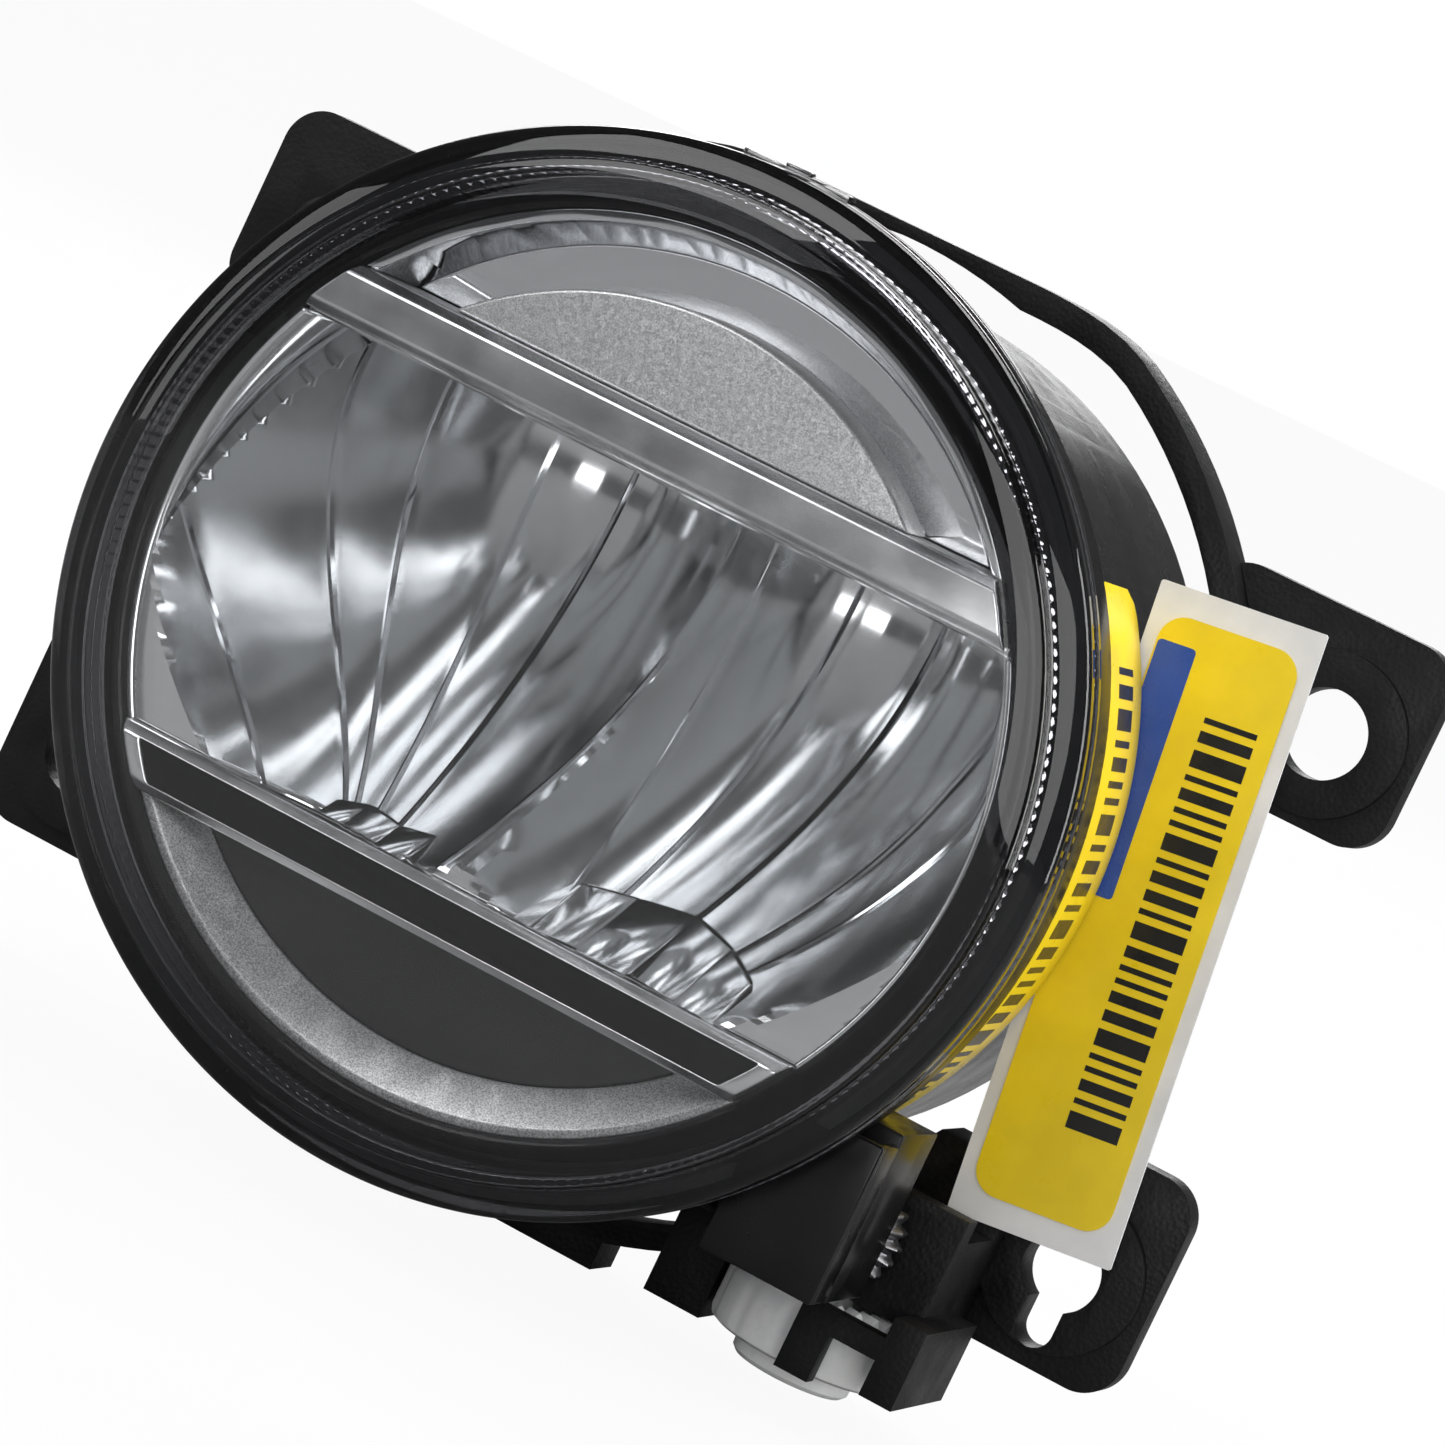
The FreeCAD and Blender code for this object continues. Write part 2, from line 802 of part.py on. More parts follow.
leg_right = box(
    "LegRight", adj + d("leg_right_in"), adj + d("leg_right_out"), rail_front, d("leg_right_rear_y"),
    d("leg_right_low_z"), plate_top
)
low_lug = box(
    "LowLug", d("lug_left_x"), d("lug_right_x"), d("ring_front_y"), cage_rear, d("lug_low_z"), d("lug_top_z")
)
cage_round = rod_y("CageRound", d("clear_r"), -30.0, 4.0)

bracket_solid = fuse("BracketSolid", ring_outer, low_lug, *(ears + bosses + pads))
cage_solid = fuse(
    "CageSolid",
    plate,
    bearing_front,
    bearing_rear,
    cage_side,
    cage_back,
    leg_left,
    leg_left_link,
    leg_mid,
    front_rail,
    leg_right,
)
ring_window = cut("RingWindow", ring_inner, box("RingWindowKeep", 26.0, 60.0, -30.0, 8.0, -60.0, -24.0))
pad_keep = box(
    "PadKeep", -BIG, BIG, d("pad_front_y") - 1.0, 4.0, -d("pad_clear_half_z"), d("pad_clear_half_z")
)
window_trim = cut("RingWindowTrim", ring_window, pad_keep)
pad_round = box("PadRound", -d("pad_in_x"), d("pad_in_x"), -14.0, 6.0, -10.0, 10.0)
bearing_bore = d("screw_r") + d("journal_fit")
screw_bearing = rod_y("ScrewBearing", bearing_bore, -20.0, -2.2, adj, d("screw_z"))
wheel_bearing = rod_z(
    "WheelBearing",
    d("wheel_hub_r") + d("journal_fit"),
    d("plate_low_z") - 1.0,
    d("plate_top_z") + 1.6,
    adj,
    wheel_y,
)
bracket_body = cut(
    "BracketBody",
    bracket_solid,
    window_trim,
    cage_round,
    pad_round,
    rod_x("PinHoles", d("pin_r"), -BIG, BIG, d("pivot_y"), 0.0),
    screw_bearing,
    *ear_cuts
)

# the ears are pieces of their own, joined to the ring on flat faces
ear_cells = []
for side, sx in (("left", -1), ("right", 1)):
    for level, top, bottom in (("upper", "ear_top_hi", "ear_top_lo"), ("lower", "ear_low_hi", "ear_low_lo")):
        near = d("ear_joint_x") * sx
        far = BIG * sx
        cell = box(
            "EarCell_%s_%s" % (level, side),
            min(near, far, key=lambda q: as_q(q).v),
            max(near, far, key=lambda q: as_q(q).v),
            -20.0,
            10.0,
            d(bottom) - d("ear_joint_gap"),
            d(top) + d("ear_joint_gap"),
        )
        ear_cells.append(cell)
        ear = common("Ear_%s_%s" % (level, side), bracket_body, cell)
        node("%s_%s_ear" % (level, side), ear, "%s %s ear" % (level.capitalize(), side))
bracket = cut("Bracket", bracket_body, *ear_cells)
node("bracket", bracket, "Tilt bracket ring")
cage = cut("AdjusterCage", cage_solid, bracket_solid, cage_round, screw_bearing, wheel_bearing)
node("adjuster_cage", cage, "Adjuster cage")

# ---------------------------------------------------------------- pivot pins

pins = group(
    "PivotPins",
    rod_x("PinLeft", d("pin_r"), -d("pin_outer_x"), -d("pin_inner_x"), d("pivot_y"), 0.0),
    rod_x("PinRight", d("pin_r"), d("pin_inner_x"), d("pin_outer_x"), d("pivot_y"), 0.0),
)
node("pivot_pins", pins, "Pivot pins")

# ---------------------------------------------------------------- adjuster wheel, screw and nut

wheel_solid = fuse(
    "WheelSolid",
    rod_z("WheelDisc", d("wheel_r"), d("wheel_low_z"), d("wheel_top_z"), adj, wheel_y),
    cut(
        "WheelCrown",
        rod_z("CrownOut", d("wheel_crown_r"), d("wheel_top_z") - 0.2, d("wheel_crown_z"), adj, wheel_y),
        rod_z("CrownIn", d("wheel_crown_in"), d("wheel_top_z"), -30.0, adj, wheel_y),
    ),
    rod_z("WheelHub", d("wheel_hub_r"), d("wheel_low_z"), d("wheel_hub_z"), adj, wheel_y),
    rod_z("WheelFoot", d("wheel_foot_r"), d("wheel_foot_z"), d("wheel_low_z"), adj, wheel_y),
)
hex_key = doc.addObject("Part::Prism", "WheelHex")
hex_key.Polygon = 6
bind(hex_key, "Circumradius", d("hex_half") * 1.1547)
bind(hex_key, "Height", 4.0)
place(hex_key, adj, wheel_y, d("wheel_foot_z") - 0.1)
wheel = cut("AdjusterWheel", wheel_solid, hex_key)
node("adjuster_wheel", wheel, "White adjuster wheel")

screw = fuse(
    "AimScrew",
    rod_y("ScrewShaft", d("screw_r"), d("screw_front_y"), d("screw_rear_y"), adj, d("screw_z")),
    rod_y("ScrewGear", d("gear_r"), d("gear_front_y"), d("gear_rear_y"), adj, d("screw_z")),
)
node("aim_screw", screw, "Aiming screw")

nut = cut(
    "AimNut",
    rod_x("NutBarrel", d("nut_r"), adj - d("nut_half_x"), adj + d("nut_half_x"), d("nut_y"), d("screw_z")),
    rod_y("NutBore", d("screw_r") + d("nut_bore_fit"), -40.0, -20.0, adj, d("screw_z")),
)
node("aim_nut", nut, "Barrel nut")

# ---------------------------------------------------------------- reflector


def bowl(name, sx, grow):
    """Half-egg whose rear forms one reflector bowl."""
    egg = doc.addObject("Part::Ellipsoid", name)
    bind(egg, "Radius1", d("bowl_semi_z") + grow)
    bind(egg, "Radius2", d("bowl_semi_x") + grow)
    bind(egg, "Radius3", d("bowl_semi_y") + grow)
    place(egg, d("bowl_x") * sx, d("bowl_back_y") - d("bowl_semi_y"), d("bowl_z"))
    return egg


ceil_z = d("ceil_z")
ceil_top = ceil_z + d("ceil_wall")
floor_z = d("floor_z")
front_y = d("refl_front_y")
round_slab = common(
    "ReflectorRound",
    rod_y("ReflectorDisc", d("opening_r"), front_y, -4.0),
    box("ReflectorSlab", -BIG, BIG, -60.0, 0.0, floor_z - 1.4, ceil_top),
)
bowl_shell = cut(
    "BowlShell",
    common(
        "BowlOuter",
        round_slab,
        fuse("BowlEggs", bowl("BowlOutLeft", -1, d("bowl_wall")), bowl("BowlOutRight", 1, d("bowl_wall"))),
    ),
    bowl("BowlInLeft", -1, 0.0),
    bowl("BowlInRight", 1, 0.0),
)
wall_ring = common(
    "WallRing",
    cut(
        "WallTube",
        rod_y("WallTubeOut", d("opening_r"), front_y, -20.0),
        rod_y("WallTubeIn", d("wall_in_r"), -60.0, -10.0),
    ),
    box("WallSlab", -BIG, BIG, -60.0, 0.0, floor_z - 1.4, ceil_top),
)
ceiling = common(
    "Ceiling",
    box("CeilingPlate", -BIG, BIG, front_y, -5.4, ceil_z, ceil_top),
    rod_y("CeilingRound", d("opening_r"), -60.0, 0.0),
)
refl_solid = fuse("ReflectorSolid", bowl_shell, wall_ring, ceiling)
chip_y = d("chip_y")
windows = []
for sx in (-1, 1):
    windows.append(
        box(
            "ChipWindow_%d" % (sx + 1),
            d("bowl_x") * sx - d("chip_half_x"),
            d("bowl_x") * sx + d("chip_half_x"),
            chip_y - d("chip_window_half_y"),
            chip_y + d("chip_window_half_y"),
            12.0,
            24.0,
        )
    )
board_screw_ys = (d("board_screw_front_y"), d("board_screw_rear_y"))
for index, y in enumerate(board_screw_ys):
    windows.append(rod_z("CeilingHole_%d" % index, 2.8, 12.0, 24.0, 0.0, y))
reflector = cut("Reflector", refl_solid, *windows)
node("reflector", reflector, "Mirrored reflector")

# ---------------------------------------------------------------- bars across the opening


def bar(name, mid_z):
    """Bar with bevelled long edges, its ends following the round opening."""
    half = d("bar_half")
    edge = d("bar_edge")
    front = d("bar_front_y")
    rear = d("bar_rear_y")
    section = padded(
        name + "Section",
        [
            (front, mid_z - half + edge),
            (front + edge, mid_z - half),
            (rear, mid_z - half),
            (rear, mid_z + half),
            (front + edge, mid_z + half),
            (front, mid_z + half - edge),
        ],
        "YZ_Plane",
        90.0,
        -45.0,
    )
    return common(name, section, rod_y(name + "Round", d("bar_r"), -60.0, -30.0))


bar_up = bar("UpperBar", d("bar_up_z"))
node("upper_bar", bar_up, "Upper chrome bar")


def inset(name, grow, y1):
    """Flat strip let into the lower bar."""
    half = d("inset_half") + grow
    low = d("bar_low_z")
    strip = box(name + "Strip", -BIG, BIG, d("bar_front_y") - 1.0, y1, low - half, low + half)
    ends = rod_y(name + "Ends", d("bar_r") - 1.4 + grow, -60.0, -30.0)
    return common(name, strip, ends)


depth_y = d("bar_front_y") + d("inset_depth") + 0.9
bar_low = cut("LowerBar", bar("LowerBarSolid", d("bar_low_z")), inset("InsetPocket", 0.0, depth_y))
node("lower_bar", bar_low, "Lower chrome bar frame")
strip = cut(
    "LowerBarInsert",
    inset("InsetSolid", -0.02, depth_y - 0.02),
    box("InsetFront", -BIG, BIG, -60.0, d("bar_front_y") + d("inset_depth"), -BIG, BIG),
)
node("lower_bar_insert", strip, "Black insert of the lower bar")

# ---------------------------------------------------------------- trim above and below the bars

above = d("bar_up_z") + d("bar_half") + d("trim_gap")
below = d("bar_low_z") - d("bar_half") - d("trim_gap")
upper_cap = box("UpperCap", -BIG, BIG, -60.0, 0.0, above, BIG)
lower_cap = box("LowerCap", -BIG, BIG, -60.0, 0.0, -BIG, below)

rim_ring = turned(
    "UpperRimRing",
    [
        (d("opening_r"), front_y),
        (d("opening_r"), front_y + d("rim_wall")),
        (d("rim_r_in") + d("rim_wall"), d("rim_back_y") + d("rim_wall")),
        (d("plate_up_r") - d("rim_lap"), d("rim_back_y") + d("rim_wall")),
        (d("plate_up_r") - d("rim_lap"), d("rim_back_y")),
        (d("rim_r_in"), d("rim_back_y")),
        (d("opening_r") - d("rim_lap"), front_y),
    ],
)
upper_rim = common("UpperRim", rim_ring, upper_cap)
node("upper_rim", upper_rim, "Upper rim band")

up_disc = turned(
    "UpperPlateDisc",
    [
        (0.0, d("plate_up_y")),
        (d("plate_up_r"), d("plate_up_y")),
        (d("plate_up_r"), d("rim_back_y") - d("trim_gap")),
        (d("plate_up_r") - d("rim_wall"), d("rim_back_y") - d("trim_gap")),
        (d("plate_up_r") - d("rim_wall"), d("plate_up_y") + d("plate_wall")),
        (0.0, d("plate_up_y") + d("plate_wall")),
    ],
)
upper_plate = common(
    "UpperPlate", up_disc, box("UpperPlateCap", -BIG, BIG, -60.0, 0.0, above, BIG)
)
node("upper_plate", upper_plate, "Satin upper plate")

crescent_ring = turned(
    "LowerCrescentRing",
    [
        (d("opening_r"), front_y),
        (d("opening_r"), front_y + d("crescent_wall_front")),
        (d("plate_low_r") + d("crescent_lap"), d("plate_low_y") + d("crescent_wall_rear")),
        (d("plate_low_r"), d("plate_low_y")),
        (d("opening_r") - d("crescent_lip"), front_y),
    ],
)
crescent = common("LowerCrescent", crescent_ring, lower_cap)
node("lower_crescent", crescent, "Silver lower crescent")

low_disc = turned(
    "LowerPlateDisc",
    [
        (0.0, d("plate_low_y")),
        (d("plate_low_r") - d("trim_gap"), d("plate_low_y")),
        (d("plate_low_r") - d("trim_gap"), d("plate_low_y") + d("plate_wall")),
        (0.0, d("plate_low_y") + d("plate_wall")),
    ],
)
lower_plate = common(
    "LowerPlate", low_disc, box("LowerPlateCap", -BIG, BIG, -60.0, 0.0, -BIG, below)
)
node("lower_plate", lower_plate, "Dark lower plate")

# ---------------------------------------------------------------- inner bezel

lip_in = d("opening_r") + d("trim_gap")
bezel = turned(
    "InnerBezel",
    [
        (lip_in, d("bezel_lip_y") + d("bezel_lip_step")),
        (d("bezel_lip_r"), d("bezel_lip_y")),
        (d("bezel_r_out"), d("bezel_front_y")),
        (d("bezel_r_out"), d("bezel_front_y") + d("bezel_slope")),
        (d("groove_r_in") - d("bezel_seat_in"), d("bezel_front_y") + d("bezel_drop")),
        (d("groove_r_in") - d("bezel_seat_in"), d("bezel_seat_y") - d("trim_gap")),
        (lip_in, d("bezel_seat_y") - d("trim_gap")),
    ],
)
node("inner_bezel", bezel, "Black inner bezel")

# ---------------------------------------------------------------- light source and its heat sink

board_low = d("board_low_z")
board_top = board_low + d("board_wall")
board = box(
    "LedBoard", -d("board_half_x"), d("board_half_x"), d("board_front_y"), d("board_rear_y"),
    board_low, board_top
)
board_screw_x = 0.0
board_cut = cut(
    "LedBoardDrilled",
    board,
    *[
        rod_z("BoardHole_%d" % index, 1.6, 10.0, 24.0, board_screw_x, y)
        for index, y in enumerate(board_screw_ys)
    ]
)
node("led_board", board_cut, "Aluminium-core LED board")

chips = []
for index, sx in enumerate((-1, 1)):
    chips.append(
        box(
            "Chip_%d" % index,
            d("bowl_x") * sx - d("chip_half"),
            d("bowl_x") * sx + d("chip_half"),
            chip_y - d("chip_half"),
            chip_y + d("chip_half"),
            board_low - 0.9,
            board_low,
        )
    )
node("led_chips", group("LedChips", *chips), "LED chips")

pad_top = board_top + d("pad_wall")
pad = cut(
    "ThermalPad",
    box(
        "ThermalSheet", -d("sink_arm_half_x") + d("pad_margin"), d("sink_arm_half_x") - d("pad_margin"),
        d("board_front_y") + d("pad_margin"), d("board_rear_y") - d("pad_margin"), board_top, pad_top
    ),
    *[
        rod_z("PadHole_%d" % index, 2.0, 10.0, 26.0, board_screw_x, y)
        for index, y in enumerate(board_screw_ys)
    ]
)
node("thermal_pad", pad, "Thermal pad")

arm_top = pad_top + d("sink_arm_wall")
sink_arm = box(
    "SinkArm", -d("sink_arm_half_x"), d("sink_arm_half_x"), d("board_front_y"),
    d("sink_plate_y0") + 0.5, pad_top, arm_top
)
sink_plate = rounded_plate(
    "SinkPlate", -d("sink_half_x"), d("sink_half_x"), d("sink_low_z"), d("sink_high_z"), 3.0,
    d("sink_plate_y0"), d("sink_plate_y1")
)
fins = []
fin_total = int(DIMS["fin_count"])
span = (d("sink_half_x") - d("fin_side_margin")) * 2.0
for index in range(fin_total):
    left = -span * 0.5 + span * (index / (fin_total - 1.0)) - d("fin_wall") * 0.5
    fins.append(
        box(
            "Fin_%d" % index, left, left + d("fin_wall"), d("sink_plate_y1") - 0.2, d("sink_fin_y"),
            d("sink_low_z") + d("fin_end_margin"), d("sink_high_z") - d("fin_end_margin")
        )
    )
sink_cuts = []
for index, (px, pz) in enumerate(screw_points):
    sink_cuts.append(rod_y("SinkHole_%d" % index, d("screw_shank_r") + 0.15, 20.0, 30.0, px, pz))
for index, y in enumerate(board_screw_ys):
    sink_cuts.append(rod_z("ArmTap_%d" % index, d("tap_r"), 12.0, arm_top - 0.6, board_screw_x, y))
sink = cut("HeatSink", fuse("HeatSinkSolid", sink_arm, sink_plate, *fins), *sink_cuts)
node("heat_sink", sink, "Finned heat sink")

seal_frame = cut(
    "SinkSeal",
    rounded_plate(
        "SealSheet", -d("sink_half_x") + d("seal_margin"), d("sink_half_x") - d("seal_margin"),
        d("sink_low_z") + d("seal_margin"), d("sink_high_z") - d("seal_margin"),
        2.6, d("rear_out_y"), d("sink_plate_y0")
    ),
    box(
        "SealOpening", -d("rear_open_half_x"), d("rear_open_half_x"), 10.0, 30.0,
        d("rear_open_low_z"), d("rear_open_high_z")
    ),
    *[
        rod_y("SealHole_%d" % index, d("screw_shank_r") + 0.3, 10.0, 30.0, px, pz)
        for index, (px, pz) in enumerate(screw_points)
    ]
)
node("sink_seal", seal_frame, "Heat sink seal")

sink_screws = []
for index, (px, pz) in enumerate(screw_points):
    head_y = d("sink_plate_y1")
    one = fuse(
        "SinkScrewSolid_%d" % index,
        rod_y("SinkScrewHead_%d" % index, d("screw_head_r"), head_y, head_y + d("screw_head_h"), px, pz),
        rod_y("SinkScrewNeck_%d" % index, d("screw_shank_r") - 0.15, 13.0, head_y + 0.2, px, pz),
    )
    recess = doc.addObject("Part::Prism", "SinkScrewHex_%d" % index)
    recess.Polygon = 6
    bind(recess, "Circumradius", d("hex_recess_r"))
    bind(recess, "Height", d("hex_recess_depth"))
    turn(recess, X_AXIS, -90)
    place(recess, px, head_y + 0.8, pz)
    sink_screws.append(cut("SinkScrew_%d" % index, one, recess))
node("sink_screws", group("SinkScrews", *sink_screws), "Heat sink screws")

board_screws = []
for index, y in enumerate(board_screw_ys):
    board_screws.append(
        fuse(
            "BoardScrew_%d" % index,
            rod_z(
                "BoardScrewHead_%d" % index, d("board_screw_head_r"),
                board_low - d("board_screw_head"), board_low, board_screw_x, y
            ),
            rod_z("BoardScrewNeck_%d" % index, d("tap_r"), board_low - 0.2, arm_top - 0.8, board_screw_x, y),
        )
    )
node("board_screws", group("BoardScrews", *board_screws), "LED board screws")

# ---------------------------------------------------------------- terminals, leads, breather

blades = []
for index, sx in enumerate((-1, 1)):
    blade_x = d("sock_x") + d("blade_pitch") * (sx * 0.5)
    blades.append(
        box(
            "Blade_%d" % index, blade_x - d("blade_half_w"), blade_x + d("blade_half_w"),
            d("blade_tail_y"), d("blade_tip_y"), d("sock_z") - d("blade_half_t"),
            d("sock_z") + d("blade_half_t")
        )
    )
node("terminals", group("Terminals", *blades), "Blade terminals")


def lead(name, points, radius):
    """Round wire through the points."""
    vectors = [FreeCAD.Vector(*point) for point in points]
    spline = Part.BSplineCurve()
    spline.interpolate(vectors)
    path = Part.Wire([spline.toShape()])
    start = spline.value(spline.FirstParameter)
    along = spline.tangent(spline.FirstParameter)[0]
    ring = Part.Wire([Part.makeCircle(radius, start, along)])
    tube = path.makePipeShell([ring], True, True)
    obj = doc.addObject("Part::Feature", name)
    obj.Shape = tube
    return obj


leads = []
for index, sx in enumerate((-1, 1)):
    blade_x = DIMS["sock_x"] + DIMS["blade_pitch"] * 0.5 * sx
    low_z = DIMS["sock_z"]
    solder_y = DIMS["board_rear_y"] - 1.3
    leads.append(
        lead(
            "Lead_%d" % index,
            [
                (blade_x, DIMS["blade_tail_y"] - 0.1, low_z),
                (blade_x, DIMS["blade_tail_y"] - 6.0, low_z + 0.5),
                (blade_x - 3.0, 1.0, low_z + 12.0),
                (blade_x - 4.0, -2.5, low_z + 24.0),
                (blade_x - 4.0, solder_y, DIMS["board_low_z"] - 0.05),
            ],
            DIMS["lead_r"],
        )
    )
node("leads", group("Leads", *leads), "Supply leads")

cap = cut(
    "VentCap",
    rod_y("CapBody", d("vent_cap_r"), d("rear_out_y") + 1.2, d("vent_cap_y"), d("vent_x"), d("vent_z")),
    rod_y("CapBore", d("vent_nip_r"), 10.0, d("vent_nip_y") + 0.2, d("vent_x"), d("vent_z")),
)
node("vent_cap", cap, "Breather cap")

# ---------------------------------------------------------------- label on the drum and its hanging half

sheet_wall = d("label_wall")
taper = (d("drum_front_r") - rear_r) / (d("drum_rear_y") - d("flange_rear_y") - d("flange_taper"))
drum_at_front = d("drum_front_r") - taper * (d("label_front_y") - d("flange_rear_y") - d("flange_taper"))
drum_at_rear = d("drum_front_r") - taper * (d("label_rear_y") - d("flange_rear_y") - d("flange_taper"))
label_skin = turned(
    "LabelSkin",
    [
        (drum_at_front + d("film_gap"), d("label_front_y")),
        (drum_at_front + sheet_wall, d("label_front_y")),
        (drum_at_rear + sheet_wall, d("label_rear_y")),
        (drum_at_rear + d("film_gap"), d("label_rear_y")),
    ],
)
label_sector = common(
    "LabelSector", label_skin, box("LabelSectorBox", 28.0, 60.0, -40.0, 0.0, -27.2, 25.0)
)
arm_clear = box(
    "LabelArmClear",
    d("adj_x") - d("arm_half_x") - d("label_arm_gap"),
    BIG,
    d("nut_y") - d("arm_half_y") - d("label_arm_gap"),
    d("nut_y") + d("arm_half_y") + d("label_arm_gap"),
    -40.0,
    -21.7,
)
label_patch = cut("LabelPatch", label_sector, arm_clear)


def tag_sheet(name, half_w, half_l, y0, y1):
    """Leaning flat sheet beside the drum."""
    obj = doc.addObject("Part::Box", name)
    bind(obj, "Length", as_q(half_w) * 2.0)
    bind(obj, "Width", as_q(y1) - y0)
    bind(obj, "Height", as_q(half_l) * 2.0)
    lean = -DIMS["tag_lean_deg"]
    turn(obj, Y_AXIS, lean)
    cos_l = math.cos(math.radians(lean))
    sin_l = math.sin(math.radians(lean))
    place(
        obj,
        d("tag_x") - as_q(half_w) * cos_l - as_q(half_l) * sin_l,
        y0,
        as_q(half_w) * sin_l - as_q(half_l) * cos_l,
    )
    return obj


tag = tag_sheet("LabelTag", d("tag_half_w"), d("tag_half_l"), d("tag_y"), d("tag_y") + sheet_wall)
drum_clear = rod_y("LabelClear", drum_at_rear + 0.02, -20.0, -5.0)
label = fuse("Label", label_patch, cut("LabelTagTrim", tag, drum_clear))
node("label", label, "Yellow label")
card = tag_sheet(
    "LabelCard", d("card_half_w"), d("card_half_l"), d("tag_y") + sheet_wall, d("tag_y") + sheet_wall * 2.4
)
card_cut = cut("LabelBacking", card, rod_y("CardClear", drum_at_rear + 0.6, -20.0, -5.0))
node("label_backing", card_cut, "White label backing")

# ---------------------------------------------------------------- check and write

doc.recompute()
for obj in doc.Objects:
    if "Invalid" in obj.State or "Error" in obj.State:
        raise RuntimeError("%s: %s" % (obj.Name, obj.State))
os.makedirs("parts", exist_ok=True)
for name, obj in NODES.items():
    shape = obj.Shape
    if shape.isNull() or not shape.isValid():
        raise RuntimeError("bad shape: " + name)
    shape.exportStep("parts/%s.step" % name)
    bounds = shape.BoundBox
    print(
        "%-18s solids %d volume %9.1f  x %.1f..%.1f  y %.1f..%.1f  z %.1f..%.1f"
        % (
            name, len(shape.Solids), shape.Volume, bounds.XMin, bounds.XMax,
            bounds.YMin, bounds.YMax, bounds.ZMin, bounds.ZMax
        )
    )
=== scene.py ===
import json
import math

import bmesh
import bpy
from mathutils import Matrix, Vector


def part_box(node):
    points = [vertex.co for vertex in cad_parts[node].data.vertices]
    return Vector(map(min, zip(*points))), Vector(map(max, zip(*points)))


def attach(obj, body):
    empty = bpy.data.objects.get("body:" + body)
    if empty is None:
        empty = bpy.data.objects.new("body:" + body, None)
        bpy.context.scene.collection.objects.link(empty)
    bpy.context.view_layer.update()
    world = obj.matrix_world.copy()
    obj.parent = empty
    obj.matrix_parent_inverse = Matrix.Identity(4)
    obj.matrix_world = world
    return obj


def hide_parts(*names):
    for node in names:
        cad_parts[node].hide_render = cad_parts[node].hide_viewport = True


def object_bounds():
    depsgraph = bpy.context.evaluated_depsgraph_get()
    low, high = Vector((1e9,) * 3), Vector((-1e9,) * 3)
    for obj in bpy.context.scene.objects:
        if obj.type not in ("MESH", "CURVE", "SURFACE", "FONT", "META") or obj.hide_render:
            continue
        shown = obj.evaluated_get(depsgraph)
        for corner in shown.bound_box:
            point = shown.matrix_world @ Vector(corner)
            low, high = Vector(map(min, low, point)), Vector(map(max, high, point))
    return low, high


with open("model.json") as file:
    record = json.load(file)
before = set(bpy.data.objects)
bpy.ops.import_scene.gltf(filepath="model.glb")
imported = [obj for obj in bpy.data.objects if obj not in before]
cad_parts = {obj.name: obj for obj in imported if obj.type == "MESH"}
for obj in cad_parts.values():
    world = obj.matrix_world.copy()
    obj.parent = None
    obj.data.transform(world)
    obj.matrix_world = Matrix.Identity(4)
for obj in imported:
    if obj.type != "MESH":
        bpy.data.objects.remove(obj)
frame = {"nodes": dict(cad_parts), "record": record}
cad_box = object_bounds()
nodes = frame["nodes"]

MM = 0.001  # lengths below are in millimetres, and turn into metres where a mesh is made


# ------------------------------------------------------------------ measures read from the frame


def low(node):
    """Lowest corner of a CAD node, in millimetres."""
    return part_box(node)[0] / MM


def high(node):
    """Highest corner of a CAD node, in millimetres."""
    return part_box(node)[1] / MM


LENS_R = high("outer_lens").x
LENS_FRONT_Y = low("outer_lens").y
LENS_REAR_Y = high("outer_lens").y
BAR_LOW_TOP_Z = high("lower_bar").z
BAR_UP_LOW_Z = low("upper_bar").z
HOUSING_REAR_Y = low("sink_seal").y
WHEEL_LOW = low("adjuster_wheel")
WHEEL_HIGH = high("adjuster_wheel")
WHEEL_X = (WHEEL_LOW.x + WHEEL_HIGH.x) / 2
WHEEL_Y = (WHEEL_LOW.y + WHEEL_HIGH.y) / 2
SCREW_LOW = low("aim_screw")
SCREW_HIGH = high("aim_screw")
SCREW_X = (SCREW_LOW.x + SCREW_HIGH.x) / 2
SCREW_Z = (SCREW_LOW.z + SCREW_HIGH.z) / 2
CAP_LOW = low("vent_cap")
CAP_HIGH = high("vent_cap")


# ------------------------------------------------------------------ materials


